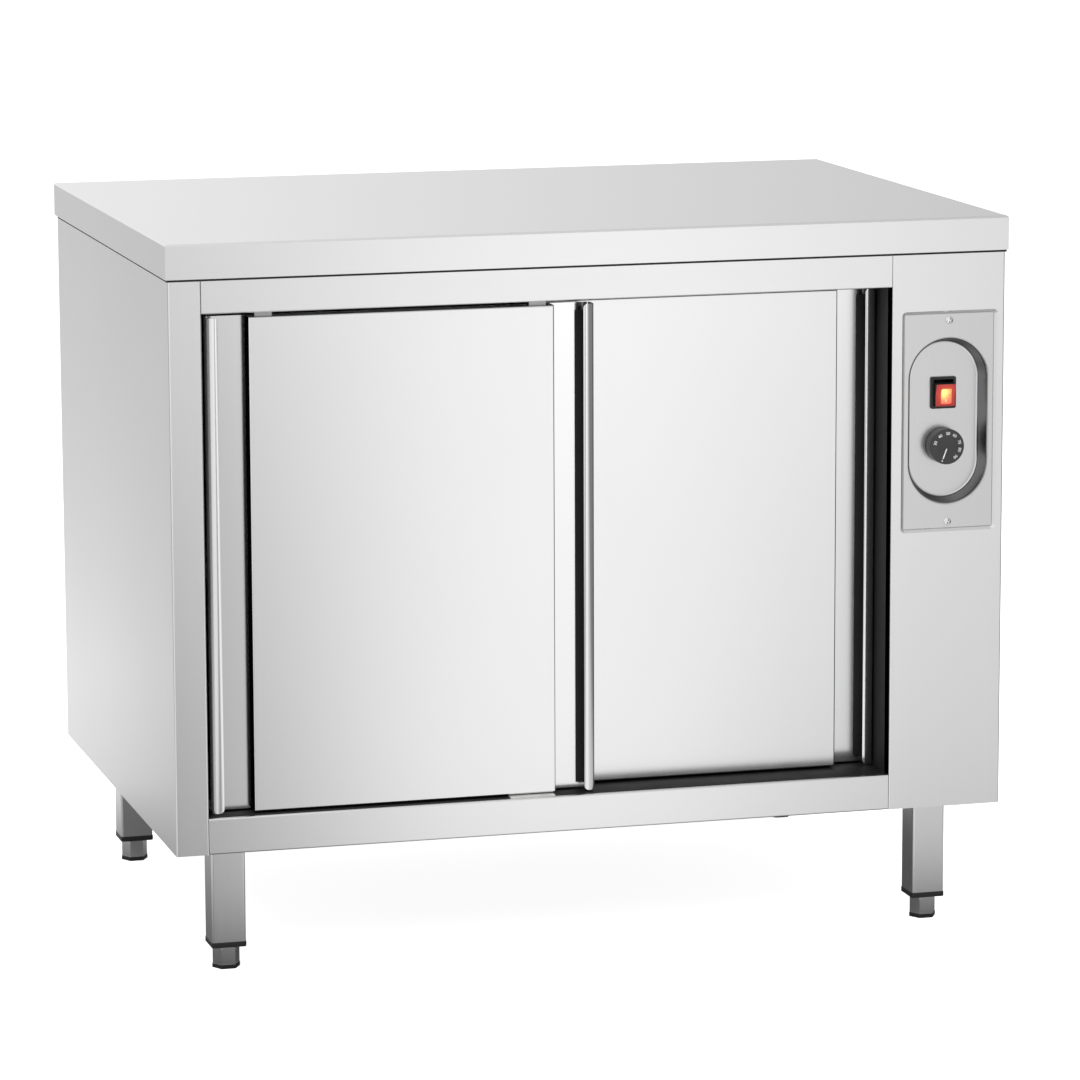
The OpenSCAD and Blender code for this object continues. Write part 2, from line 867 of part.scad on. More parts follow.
// Frame and box of the switch, with the pin that the rocker turns on
module switch_housing() {
  body_w = switch_w - 4;
  body_h = switch_h - 4;
  hole_w = switch_w - 2 * switch_wall;
  hole_h = switch_h - 2 * switch_wall;
  color("dimgray")
    translate([col_x, 0, switch_z]) {
      difference() {
        union() {
          along_y(floor_y - switch_frame_d, floor_y)
            round_rect(switch_w, switch_h, 2);
          block([-body_w / 2, body_w / 2], [floor_y - 0.01, floor_y + 24],
            [-body_h / 2, body_h / 2]);
        }
        block([-hole_w / 2, hole_w / 2], [floor_y - 9, floor_y + 20],
          [-hole_h / 2, hole_h / 2]);
      }
      translate([0, rocker_y, 0])
        bar_x(rocker_pin_r, -hole_w / 2 - 0.5, hole_w / 2 + 0.5);
    }
}

// Rocker with two sloping halves: at rest it is on, pressed in at its foot
module switch_rocker() {
  front = -rocker_rise;
  h = (rocker_h / 2 + front * sin(rocker_tilt)) * cos(rocker_tilt);
  color("red")
    translate([col_x, rocker_y, switch_z])
      rotate([rocker_tilt, 0, 0])
        difference() {
          along_x(-rocker_w / 2, rocker_w / 2)
            polygon([[front, 0], [front - h * tan(rocker_tilt), h],
              [-2, h * 0.94], [5, 7], [5, -7], [-2, -h * 0.94],
              [front - h * tan(rocker_tilt), -h]]);
          bar_x(rocker_pin_r + bore_gap, -rocker_w, rocker_w);
        }
}

// Thermostat behind the plate, and its bulb clipped to the right liner
module capillary_thermostat() {
  back = floor_y + plate_t;
  color("gray") {
    translate([col_x, back, dial_z])
      difference() {
        union() {
          block([-21, 21], [0, 26], [-21, 21]);
          bar_y(shaft_r + 3, 25, 30);
        }
        bar_y(shaft_r + bore_gap, -1, 31);
      }
    translate([liner_x + 3 + seat_gap, cav_y1 - 150, open_z1 - 60]) {
      bar_y(3, 0, 100);
      for (y = [15, 77])
        block([-3 - seat_gap, 3], [y, y + 8], [-4, 4]);
    }
  }
}

module thermostat_shaft() {
  color("silver")
    translate([col_x, 0, dial_z])
      bar_y(shaft_r, floor_y - dial_h + 4, floor_y + plate_t + 20);
}

// Round knob with a softly rounded rim
module thermostat_knob() {
  r = dial_dia / 2;
  h = dial_h;
  color("dimgray")
    translate([col_x, floor_y - 1, dial_z])
      rotate([90, 0, 0])
        difference() {
          rotate_extrude($fn = 96)
            polygon([[0, 0], [r - 0.6, 0], [r, 0.6], [r, h - 1.4], [r - 0.4, h - 0.4],
              [r - 1.4, h], [0, h]]);
          translate([0, 0, -1])
            cylinder(r = shaft_r + bore_gap, h = h - 4 + 1, $fn = 48);
          translate([0, 0, -1])
            difference() {
              cylinder(r = r - 2.5, h = h - 2, $fn = 64);
              cylinder(r = shaft_r + 3, h = h, $fn = 48);
            }
        }
}

// Heater

module heater_box() {
  y = [heater_y - heater_w / 2, heater_y + heater_w / 2];
  z = [heater_z - heater_h / 2, heater_z + heater_h / 2];
  color("silver")
    difference() {
      union() {
        block([liner_x, heater_x], y, z);
        block([liner_x, liner_x + sheet_t], [y[0] - 12, y[1] + 12], [z[0] - 12, z[1] + 12]);
      }
      block([liner_x - 1, heater_x - sheet_t], [y[0] + sheet_t, y[1] - sheet_t],
        [z[0] + sheet_t, z[1] - sheet_t]);
      translate([0, heater_y, heater_z])
        bar_x(fan_shaft_r + 4, heater_x - 5, heater_x + 5);
      for (s = [-1, 1])
        translate([0, heater_y + s * cold_end_y,
          heater_z - sqrt(ring_r * ring_r - cold_end_y * cold_end_y)])
          bar_x(element_r + 1 + seat_gap, heater_x - 5, heater_x + 5);
    }
}

// Ring-shaped tubular element with two straight cold ends through the heater box
module heating_element() {
  x = liner_x + heater_d / 2;
  color("dimgray")
    translate([0, heater_y, heater_z]) {
      translate([x, 0, 0])
        rotate([0, 90, 0])
          rotate_extrude($fn = 96)
            translate([ring_r, 0])
              circle(r = element_r, $fn = 32);
      for (s = [-1, 1])
        translate([0, s * cold_end_y, -sqrt(ring_r * ring_r - cold_end_y * cold_end_y)])
          bar_x(element_r + 1, x - element_r - 1, heater_x + 12);
    }
}

// Fan motor with its foot plate on the heater box
module fan_motor() {
  color("gray")
    translate([0, heater_y, heater_z])
      difference() {
        union() {
          block([heater_x, heater_x + motor_foot_t], [-motor_foot, motor_foot],
            [-motor_foot, motor_foot]);
          bar_x(motor_r, heater_x + 1, heater_x + motor_foot_t + motor_l);
        }
        bar_x(fan_shaft_r + bore_gap, heater_x - 1, heater_x + motor_l - 5);
      }
}

// Fan wheel with ten straight blades, on its shaft
module fan_impeller() {
  x = liner_x + heater_d / 2 - 13;
  color("gainsboro")
    translate([0, heater_y, heater_z])
      union() {
        bar_x(fan_shaft_r, x, heater_x + motor_l - 15);
        bar_x(12, x, x + 26);
        bar_x(fan_r, x + 24, x + 26);
        for (k = [0 : 9])
          rotate([36 * k, 0, 0])
            block([x, x + 25], [-0.6, 0.6], [fan_r - 22, fan_r - 1]);
      }
}

module safety_thermostat() {
  color("dimgray")
    translate([liner_x + heater_d / 2, heater_y + 60, heater_z + heater_h / 2]) {
      cylinder(r = 8, h = 10, $fn = 48);
      block([-12, 12], [-8, 8], [0, 1.5]);
    }
}

module terminal_block() {
  color("whitesmoke")
    translate([liner_x, heater_y + 60, heater_z + heater_h / 2 + 40])
      difference() {
        block([0, 20], [-35, 35], [0, 24]);
        for (k = [-2 : 2])
          block([8, 21], [k * 13 - 4, k * 13 + 4], [14, 25]);
      }
}

// Gland for the mains lead, in the floor of the control column
module cable_gland() {
  color("dimgray")
    translate([gland_x, gland_y, body_z0])
      difference() {
        union() {
          translate([0, 0, -gland_drop])
            cylinder(r = gland_nut_r - 2, h = gland_drop, $fn = 48);
          translate([0, 0, -8])
            cylinder(r = gland_nut_r, h = 8, $fn = 6);
          cylinder(r = gland_thread_r, h = 16, $fn = 48);
          translate([0, 0, sheet_t])
            cylinder(r = gland_nut_r, h = 6, $fn = 6);
        }
        translate([0, 0, -gland_drop - 1])
          cylinder(r = gland_r, h = gland_drop + 20, $fn = 48);
      }
}

// Doors: d is 0 for the left door in front, 1 for the right door behind it

module door_place(d) {
  translate([door_x[d], door_y[d], 0])
    children();
}

// Raised middle of a door
module door_panel(d) {
  w = door_w - 2 * grip_w;
  h = door_z1 - door_z0;
  color("gainsboro")
    door_place(d)
      translate([door_w / 2, pan_d, (door_z0 + door_z1) / 2])
        rotate([90, 0, 0])
          tray(w, h, pan_d, sheet_t, bend_r);
}

// Back sheet of a door, with a full-height grip lip along each edge
module door_back(d) {
  color("lightgray")
    door_place(d)
      difference() {
        union() {
          along_z(door_z0, door_z1)
            door_back_half();
          along_z(door_z0, door_z1)
            translate([door_w, 0])
              mirror([1, 0])
                door_back_half();
        }
        for (z = [door_z0, door_z1])
          lip_corners(z, z == door_z0 ? 1 : -1);
      }
}

// Section of the back sheet, from the door's middle to its edge, forward beside the raised
// middle, and in again as the lip
module door_back_half() {
  p = [[door_w / 2, door_d], [0, door_d], [0, 0], [lip_w * 0.5, 0], [lip_w, 1.6]];
  sheet(p, sheet_t, lip_r, 6);
}

// Rounds the free corners of both lips at height z
module lip_corners(z, up) {
  r = lip_corner_r;
  for (s = [0, 1])
    translate([s == 0 ? lip_w - r : door_w - lip_w + r, 0, z + up * r])
      difference() {
        block(s == 0 ? [0, r + 1] : [-r - 1, 0], [-1, pan_d - 2],
          up > 0 ? [-r - 1, 0] : [0, r + 1]);
        bar_y(r, -2, pan_d);
      }
}

module door_insulation(d) {
  g = sheet_t + seat_gap;
  color("khaki")
    door_place(d)
      block([grip_w + g, door_w - grip_w - g], [g, pan_d - seat_gap],
        [door_z0 + g, door_z1 - g]);
}

// Bent hanger with its axle, a head in front and a ring behind the roller
module hanger() {
  y1 = roller_dy - roller_w / 2 - 0.5;
  y0 = y1 - hanger_t;
  union() {
    block([-hanger_w / 2, hanger_w / 2], [y0, pan_d - 1], [door_z1, door_z1 + hanger_t]);
    block([-hanger_w / 2, hanger_w / 2], [y0, y1], [door_z1, axle_z]);
    translate([0, 0, axle_z]) {
      bar_y(hanger_w / 2, y0, y1);
      bar_y(5, y0 - 3, y0);
      bar_y(axle_r, y0, roller_dy + roller_w / 2 + run_gap + 1);
      translate([0, roller_dy + roller_w / 2 + run_gap, 0])
        bar_y(axle_r + 1.5, 0, 1);
    }
  }
}

module door_hangers(d) {
  color("silver")
    door_place(d)
      for (x = [hanger_inset, door_w - hanger_inset])
        translate([x, 0, 0])
          hanger();
}

// Channel along the foot of the door's back, open downwards
module door_guide(d) {
  y = door_d;
  color("silver")
    door_place(d)
      along_x(0, door_w)
        sheet([[y, door_z0], [y, door_z0 + channel_h], [y + channel_d, door_z0 + channel_h],
          [y + channel_d, door_z0]], -sheet_t, 1.6, 3);
}

// Grooved roller in its rail: at is 0 for the hanger at the left, 1 for the right one
module roller(d, at) {
  x = at == 0 ? hanger_inset : door_w - hanger_inset;
  w = roller_w / 2;
  g = track_t / 2 + 0.4;
  color("whitesmoke")
    door_place(d)
      translate([x, roller_dy, axle_z])
        rotate([90, 0, 0])
          rotate_extrude($fn = 96)
            polygon([[axle_r + bore_gap, -w], [roller_r, -w], [roller_r, -g - 0.6],
              [groove_r, -g], [groove_r, g], [roller_r, g + 0.6], [roller_r, w],
              [axle_r + bore_gap, w]]);
}

module left_door_panel() { door_panel(0); }
module left_door_back() { door_back(0); }
module left_door_insulation() { door_insulation(0); }
module left_door_hangers() { door_hangers(0); }
module left_door_guide() { door_guide(0); }
module left_door_roller_a() { roller(0, 0); }
module left_door_roller_b() { roller(0, 1); }
module right_door_panel() { door_panel(1); }
module right_door_back() { door_back(1); }
module right_door_insulation() { door_insulation(1); }
module right_door_hangers() { door_hangers(1); }
module right_door_guide() { door_guide(1); }
module right_door_roller_a() { roller(1, 0); }
module right_door_roller_b() { roller(1, 1); }

worktop();
worktop_stiffeners();
left_side_panel();
right_side_panel();
back_panel();
bottom_panel();
top_rail();
bottom_rail();
track_beam();
liner_left();
liner_right();
liner_back();
liner_floor();
liner_ceiling();
insulation();
base_channels();
shelf();
shelf_supports();
door_tracks();
track_stops();
bottom_guide();
leg_front_left();
leg_front_right();
leg_back_left();
leg_back_right();
leg_bolts();
leg_caps();
control_plate();
control_plate_screws();
switch_housing();
capillary_thermostat();
heater_box();
heating_element();
fan_motor();
safety_thermostat();
terminal_block();
cable_gland();
back_screws();
left_door_panel();
left_door_back();
left_door_insulation();
left_door_hangers();
left_door_guide();
right_door_panel();
right_door_back();
right_door_insulation();
right_door_hangers();
right_door_guide();
left_door_roller_a();
left_door_roller_b();
right_door_roller_a();
right_door_roller_b();
switch_rocker();
thermostat_shaft();
thermostat_knob();
fan_impeller();
foot_front_left();
foot_front_right();
foot_back_left();
foot_back_right();
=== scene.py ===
import json
import math

import bmesh
import bpy
from mathutils import Matrix, Vector


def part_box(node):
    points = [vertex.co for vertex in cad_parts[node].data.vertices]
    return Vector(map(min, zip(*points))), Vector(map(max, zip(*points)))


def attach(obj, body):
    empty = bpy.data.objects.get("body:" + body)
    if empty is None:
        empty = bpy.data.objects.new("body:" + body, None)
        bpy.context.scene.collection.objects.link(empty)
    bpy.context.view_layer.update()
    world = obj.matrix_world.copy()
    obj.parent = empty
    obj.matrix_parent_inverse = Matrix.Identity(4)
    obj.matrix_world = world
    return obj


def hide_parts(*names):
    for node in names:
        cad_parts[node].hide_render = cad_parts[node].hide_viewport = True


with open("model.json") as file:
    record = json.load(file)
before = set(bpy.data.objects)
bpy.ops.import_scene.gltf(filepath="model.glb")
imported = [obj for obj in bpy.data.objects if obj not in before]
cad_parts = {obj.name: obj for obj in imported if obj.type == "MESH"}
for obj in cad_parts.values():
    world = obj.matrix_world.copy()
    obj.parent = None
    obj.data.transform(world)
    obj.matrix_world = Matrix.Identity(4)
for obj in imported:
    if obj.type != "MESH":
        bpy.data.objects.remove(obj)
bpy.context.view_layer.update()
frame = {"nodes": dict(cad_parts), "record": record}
BODY_OF = {n: b for b, ns in frame["record"]["behaviour"]["bodies"].items() for n in ns}
plate_low, plate_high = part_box("control_plate")
COLUMN_X = (plate_low.x + plate_high.x) / 2
RECESS_Z = (plate_low.z + plate_high.z) / 2


# Material building


class Nodes:
    """A material's node tree with short calls for the nodes that the finishes share."""

    def __init__(self, name):
        self.material = bpy.data.materials.new(name)
        self.material.use_nodes = True
        self.tree = self.material.node_tree
        self.shader = self.tree.nodes["Principled BSDF"]
        self.place = self.tree.nodes.new("ShaderNodeTexCoord").outputs["Object"]

    def node(self, kind, **sockets):
        n = self.tree.nodes.new(kind)
        for key, value in sockets.items():
            self.put(n.inputs[key.replace("_", " ")], value)
        return n

    def put(self, socket, value):
        if isinstance(value, bpy.types.NodeSocket):
            self.tree.links.new(value, socket)
        else:
            socket.default_value = value

    def stretched(self, scale, move=(0, 0, 0)):
        n = self.node("ShaderNodeMapping", Scale=scale, Location=move)
        self.put(n.inputs["Vector"], self.place)
        return n.outputs["Vector"]

    def noise(self, vector, scale=1.0, detail=2.0, rough=0.5):
        n = self.node("ShaderNodeTexNoise", Scale=scale, Detail=detail, Roughness=rough)
        self.put(n.inputs["Vector"], vector)
        return n.outputs["Fac"]

    def spread(self, value, low, high, to_low, to_high):
        n = self.node("ShaderNodeMapRange")
        for key, v in (("Value", value), ("From Min", low), ("From Max", high),
                       ("To Min", to_low), ("To Max", to_high)):
            self.put(n.inputs[key], v)
        return n.outputs["Result"]

    def math(self, operation, a, b=0.5):
        n = self.node("ShaderNodeMath")
        n.operation = operation
        self.put(n.inputs[0], a)
        self.put(n.inputs[1], b)
        return n.outputs[0]

    def mix(self, share, a, b):
        n = self.node("ShaderNodeMix")
        n.data_type = "RGBA"
        self.put(n.inputs["Factor"], share)
        for key, value in (("A", a), ("B", b)):
            socket = [i for i in n.inputs if i.name == key and i.type == "RGBA"][0]
            self.put(socket, value)
        return [o for o in n.outputs if o.type == "RGBA"][0]

    def bump(self, height, depth, strength=1.0):
        n = self.node("ShaderNodeBump", Strength=strength, Distance=depth, Height=height)
        self.put(self.shader.inputs["Normal"], n.outputs["Normal"])

    def set(self, **sockets):
        for key, value in sockets.items():
            self.put(self.shader.inputs[key.replace("_", " ")], value)
        return self.material


def grey(v, tint=(1.0, 1.0, 1.0)):
    return (v * tint[0], v * tint[1], v * tint[2], 1)


def brushed_steel(name, light, rough, along, grain=1.0, glancing=1.0):
    """Stainless sheet ground in one direction: hair lines, faint streaks and cloudy patches.

    glancing is how much of the light it keeps when it is seen almost edge-on.
    """
    n = Nodes(name)
    fine = [1800.0, 1800.0, 1800.0]
    broad = [150.0, 150.0, 150.0]
    fine["xyz".index(along)] = 14.0
    broad["xyz".index(along)] = 1.2
    hair = n.noise(n.stretched(fine), 1.0, 3.0, 0.6)
    streak = n.noise(n.stretched(broad, (3.1, 1.7, 5.3)), 1.0, 3.0, 0.55)
    cloud = n.noise(n.stretched((2.3, 2.3, 2.3), (7.0, 2.0, 4.0)), 1.0, 3.0, 0.5)
    lines = n.math("ADD", n.math("MULTIPLY", hair, 0.6), n.math("MULTIPLY", streak, 0.4))
    tone = n.spread(lines, 0.3, 0.7, 0.0, 1.0)
    colour = n.mix(tone, grey(light * (1 - 0.015 * grain)),
                   grey(light * (1 + 0.01 * grain), (0.998, 1.0, 1.0)))
    colour = n.mix(n.spread(cloud, 0.35, 0.7, 0.0, 0.05 * grain), colour, grey(light * 0.90))
    wear = n.math("ADD", n.math("MULTIPLY", lines, 0.06), n.math("MULTIPLY", cloud, 0.04))
    n.bump(hair, 0.00001, 0.3 * grain)
    return n.set(Base_Color=colour, Metallic=1.0, Specular_Tint=grey(glancing),
                 Roughness=n.math("ADD", n.math("MULTIPLY", wear, grain), rough - 0.05 * grain))


def liner_with_painted_shade_rim(name, light, rim_y):
    """Liner sheet with painted shade: blackened in front of rim_y, where the door closes against
    it.
    """
    n = Nodes(name)
    where = n.tree.nodes.new("ShaderNodeSeparateXYZ")
    n.put(where.inputs[0], n.place)
    hair = n.noise(n.stretched((1800.0, 14.0, 1800.0)), 1.0, 3.0, 0.6)
    inside = n.spread(where.outputs["Y"], rim_y, rim_y + 0.002, 0, 1)
    steel = n.mix(hair, grey(light * 0.96), grey(light * 1.02))
    n.bump(hair, 0.00001, 0.3)
    return n.set(Base_Color=n.mix(inside, grey(0.012), steel), Metallic=inside,
                 Roughness=n.spread(inside, 0, 1, 0.6, 0.30))


def galvanised(name, light):
    """Zinc-coated sheet with its frost-like crystals."""
    n = Nodes(name)
    cells = n.node("ShaderNodeTexVoronoi", Scale=90.0)
    n.put(cells.inputs["Vector"], n.stretched((1, 1, 1)))
    grain = n.noise(n.stretched((1, 1, 1)), 260.0, 3.0)
    pick = n.node("ShaderNodeSeparateColor")
    n.put(pick.inputs[0], cells.outputs["Color"])
    spangle = pick.outputs[0]
    colour = n.mix(spangle, grey(light * 0.82, (0.97, 0.99, 1.0)), grey(light, (0.98, 1.0, 1.0)))
    n.bump(grain, 0.00005, 0.3)
    return n.set(Base_Color=colour, Metallic=1.0,
                 Roughness=n.spread(spangle, 0, 1, 0.34, 0.52))


def cast_metal(name, light, rough):
    """Zinc-plated or die-cast surface with a fine pebbled skin."""
    n = Nodes(name)
    skin = n.noise(n.stretched((1, 1, 1)), 900.0, 4.0, 0.6)
    blot = n.noise(n.stretched((1, 1, 1), (2, 5, 1)), 45.0, 3.0)
    colour = n.mix(blot, grey(light * 0.86), grey(light * 1.06))
    n.bump(skin, 0.00006, 0.35)
    return n.set(Base_Color=colour, Metallic=1.0,
                 Roughness=n.spread(skin, 0.3, 0.7, rough - 0.06, rough + 0.08))


def plastic(name, light, rough, tint=(1, 1, 1), pebble=700.0, depth=0.00006):
    """Moulded plastic or rubber with a leathery mould texture and slightly rubbed spots."""
    n = Nodes(name)
    skin = n.noise(n.stretched((1, 1, 1)), pebble, 3.0, 0.55)
    rub = n.noise(n.stretched((1, 1, 1), (4, 1, 8)), 28.0, 3.0)
    colour = n.mix(n.spread(rub, 0.35, 0.75, 0.0, 1.0), grey(light, tint),
                   grey(light * 1.35, tint))
    n.bump(skin, depth, 0.4)
    return n.set(Base_Color=colour, Roughness=n.spread(rub, 0.3, 0.7, rough + 0.05, rough - 0.05))


def mineral_wool(name):
    """Felted yellow-brown fibres in soft layers."""
    n = Nodes(name)
    fibre = n.noise(n.stretched((900, 120, 260)), 1.0, 5.0, 0.7)
    layer = n.noise(n.stretched((30, 30, 140)), 1.0, 3.0)
    colour = n.mix(fibre, (0.32, 0.24, 0.08, 1), (0.72, 0.62, 0.30, 1))
    colour = n.mix(n.spread(layer, 0.3, 0.7, 0.0, 0.4), colour, (0.44, 0.34, 0.14, 1))
    n.bump(fibre, 0.0015, 0.8)
    return n.set(Base_Color=colour, Roughness=0.95)


def scorched_steel(name):
    """Heating rod: dark oxide with blue and straw tints."""
    n = Nodes(name)
    tint = n.noise(n.stretched((1, 1, 1)), 22.0, 3.0)
    grit = n.noise(n.stretched((1, 1, 1)), 500.0, 3.0)
    colour = n.mix(n.spread(tint, 0.35, 0.65, 0, 1), (0.10, 0.095, 0.10, 1), (0.23, 0.17, 0.11, 1))
    n.bump(grit, 0.0001, 0.4)
    return n.set(Base_Color=colour, Metallic=0.8, Roughness=n.spread(grit, 0.3, 0.7, 0.42, 0.62))


def lit_lens(name, middle, reach, edge, centre, peak, glow):
    """Tinted lens with its lamp burning behind it: brightest at the lamp, deep colour outside."""
    n = Nodes(name)
    away = n.node("ShaderNodeVectorMath")
    away.operation = "DISTANCE"
    flat = n.stretched((1, 0, 1))
    n.put(away.inputs[0], flat)
    away.inputs[1].default_value = (middle[0], 0, middle[1])
    near = n.spread(away.outputs["Value"], 0.0, reach, 1.0, 0.0)
    prism = n.noise(n.stretched((1, 1, 1)), 420.0, 2.0)
    near = n.math("ADD", near, n.spread(prism, 0.3, 0.7, -0.06, 0.06))
    colour = n.mix(n.spread(near, 0.0, 0.5, 0, 1), edge, centre)
    colour = n.mix(n.spread(near, 0.45, 0.95, 0, 1), colour, peak)
    n.bump(prism, 0.0001, 0.3)
    return n.set(Base_Color=colour, Roughness=0.22, Emission_Color=colour, Emission_Strength=glow)


LINER_RIM_Y = -0.270
LAMP_Z = 0.643
LAMP_OFFSET = 0.0025

STEEL_X = brushed_steel("steel_grain_across", 0.80, 0.24, "x")
STEEL_Z = brushed_steel("steel_grain_upright", 0.80, 0.24, "z")
WORKTOP_STEEL = brushed_steel("worktop_steel", 0.80, 0.24, "x", 0.35)
DOOR_STEEL = brushed_steel("door_steel", 0.80, 0.22, "z")
LIP_STEEL = brushed_steel("grip_steel", 0.77, 0.15, "z", 0.6)
# Near-black steel: painted shade on the sideways faces of the door panels
FOLD_PAINTED_SHADE = brushed_steel("door_fold_painted_shade", 0.09, 0.16, "z", 0.6, 0.08)
# Near-black steel: painted shade on the jamb, the sideways faces of the right side
JAMB_PAINTED_SHADE = brushed_steel("jamb_painted_shade", 0.05, 0.18, "z", 0.6, 0.05)
PLATE_STEEL = brushed_steel("control_plate_steel", 0.69, 0.28, "z")
# Darkened steel: painted shade on the walls of the control plate's recess
RECESS_WALL_PAINTED_SHADE = brushed_steel("recess_wall_painted_shade", 0.27, 0.22, "z", 0.6, 0.3)
LEG_STEEL = brushed_steel("leg_steel", 0.78, 0.26, "z")
FOOT_STEEL = brushed_steel("foot_steel", 0.74, 0.24, "z")
LINER_STEEL = brushed_steel("liner_steel", 0.70, 0.30, "x")
ZINC_SHEET = galvanised("galvanised_sheet", 0.62)
PLATED = cast_metal("bright_screws", 0.84, 0.15)
TRACK_METAL = cast_metal("rail_aluminium", 0.74, 0.32)
FAN_METAL = cast_metal("fan_aluminium", 0.72, 0.36)
FOOT_METAL = cast_metal("foot_zinc", 0.42, 0.34)
BLACK_PLASTIC = plastic("black_moulding", 0.012, 0.42)
FOOT_BLACK = plastic("foot_base_moulding", 0.010, 0.5)
# Right liner whose front strip is painted shade, black and not metal
LINER_RIGHT_STEEL = liner_with_painted_shade_rim("right_liner_steel", 0.70, LINER_RIM_Y)
# Grey matte: painted shade on the sideways faces of the door backs' steel webs
EDGE_PAINTED_SHADE = plastic("door_edge_painted_shade", 0.20, 0.6, pebble=1100.0)
# Near-black: painted shade in the cross recesses of the screws
SCREW_RECESS_SHADE = plastic("screw_recess_painted_shade", 0.08, 0.5)
# Black: painted shade, for strips set where there is only shade
PAINTED_SHADE_BLACK = plastic("painted_shade_strip", 0.006, 0.6, pebble=1100.0)
BLACK_RUBBER = plastic("black_rubber", 0.018, 0.75, pebble=1200.0)
DIAL_BLACK = plastic("dial_moulding", 0.030, 0.40, pebble=1500.0, depth=0.00003)
NYLON = plastic("white_nylon", 0.62, 0.38, (1, 1, 0.97))
TERMINAL_CERAMIC = plastic("terminal_ceramic", 0.66, 0.35, (1, 0.99, 0.94))
WOOL = mineral_wool("mineral_wool")
ROD = scorched_steel("heating_rod")
PRINT_WHITE = plastic("dial_print", 0.80, 0.5, pebble=2500.0, depth=0.00001)
ROCKER_RED = lit_lens("rocker_rim", (COLUMN_X, LAMP_Z), 0.022, (0.34, 0.016, 0.012, 1),
                      (0.55, 0.045, 0.035, 1), (0.70, 0.09, 0.06, 1), 0.08)
LAMP_WINDOW = lit_lens("rocker_window", (COLUMN_X - LAMP_OFFSET, LAMP_Z), 0.018,
                       (0.80, 0.07, 0.06, 1), (0.95, 0.22, 0.08, 1), (1.0, 0.80, 0.24, 1), 0.70)

FINISH = {
    "worktop": WORKTOP_STEEL, "worktop_stiffeners": ZINC_SHEET, "left_side_panel": STEEL_Z,
    "right_side_panel": STEEL_Z, "back_panel": STEEL_X, "bottom_panel": ZINC_SHEET,
    "top_rail": STEEL_X, "bottom_rail": STEEL_X, "track_beam": ZINC_SHEET,
    "liner_left": LINER_STEEL, "liner_right": LINER_RIGHT_STEEL, "liner_back": LINER_STEEL,
    "liner_floor": LINER_STEEL, "liner_ceiling": LINER_STEEL, "insulation": WOOL,
    "base_channels": ZINC_SHEET, "shelf": LINER_STEEL, "shelf_supports": LINER_STEEL,
    "door_tracks": TRACK_METAL, "track_stops": BLACK_RUBBER, "bottom_guide": NYLON,
    "leg_front_left": LEG_STEEL, "leg_front_right": LEG_STEEL, "leg_back_left": LEG_STEEL,
    "leg_back_right": LEG_STEEL, "leg_bolts": PLATED, "leg_caps": BLACK_PLASTIC,
    "control_plate": PLATE_STEEL, "control_plate_screws": PLATED,
    "switch_housing": BLACK_PLASTIC, "capillary_thermostat": BLACK_PLASTIC,
    "heater_box": ZINC_SHEET, "heating_element": ROD, "fan_motor": FOOT_METAL,
    "safety_thermostat": BLACK_PLASTIC, "terminal_block": TERMINAL_CERAMIC,
    "cable_gland": BLACK_PLASTIC, "back_screws": PLATED, "switch_rocker": BLACK_PLASTIC,
    "thermostat_shaft": PLATED, "thermostat_knob": DIAL_BLACK, "fan_impeller": FAN_METAL,
}
for side in ("left", "right"):
    FINISH[side + "_door_panel"] = DOOR_STEEL
    FINISH[side + "_door_back"] = LIP_STEEL
    FINISH[side + "_door_insulation"] = WOOL
    FINISH[side + "_door_hangers"] = FOOT_METAL
    FINISH[side + "_door_guide"] = STEEL_X
    for end in "ab":
        FINISH["%s_door_roller_%s" % (side, end)] = NYLON
    for end in ("front", "back"):
        FINISH["foot_%s_%s" % (end, side)] = FOOT_STEEL


def paint(obj, material):
    obj.data.materials.clear()
    obj.data.materials.append(material)


for node_name, node_object in frame["nodes"].items():
    paint(node_object, FINISH[node_name])


# Meshes and pieces


def new_piece(name, mesh):
    """An object in the scene that holds the mesh."""
    piece = bpy.data.objects.new(name, mesh)
    bpy.context.scene.collection.objects.link(piece)
    return piece


def mesh_of(shape, name):
    """The built shape as a mesh. The shape itself is freed."""
    mesh = bpy.data.meshes.new(name)
    shape.to_mesh(mesh)
    shape.free()
    return mesh


def closed_mesh(shape, name):
    """The same for a closed shape, with its faces turned outwards."""
    bmesh.ops.recalc_face_normals(shape, faces=shape.faces)
    return mesh_of(shape, name)


def plain(piece):
    """Turns what the piece's modifiers make into its own mesh, and removes them."""
    evaluated = piece.evaluated_get(bpy.context.evaluated_depsgraph_get())
    mesh = bpy.data.meshes.new_from_object(evaluated)
    piece.modifiers.clear()
    piece.data = mesh


def ease_edges(piece, width, angle):
    """Rounds the edges that turn by more than the angle in degrees."""
    ease = piece.modifiers.new("ease", "BEVEL")
    ease.width = width
    ease.segments = 2
    ease.limit_method = "ANGLE"
    ease.angle_limit = math.radians(angle)
    ease.use_clamp_overlap = True
    plain(piece)


def even_shading(piece, angle):
    """Smooth bends between flats that stay flat: normals follow the larger faces."""
    for face in piece.data.polygons:
        face.use_smooth = True
    piece.data.set_sharp_from_angle(angle=math.radians(angle))
    weigh = piece.modifiers.new("weigh", "WEIGHTED_NORMAL")
    weigh.mode = "FACE_AREA"
    weigh.weight = 100
    weigh.keep_sharp = True
    plain(piece)


# Smooth copies of the sheet parts

SAME_POINT = 0.00001
FLAT_ENOUGH = math.radians(0.5)
EASE_ANGLE = 28
SHADE_ANGLE = 38
SHARP_ANGLE = math.radians(35)

LIP_WIDTH = 0.0125
LIP_DEPTH = 0.0022
ROLL_AT_EDGE = 45
ROLL_ACROSS = 61


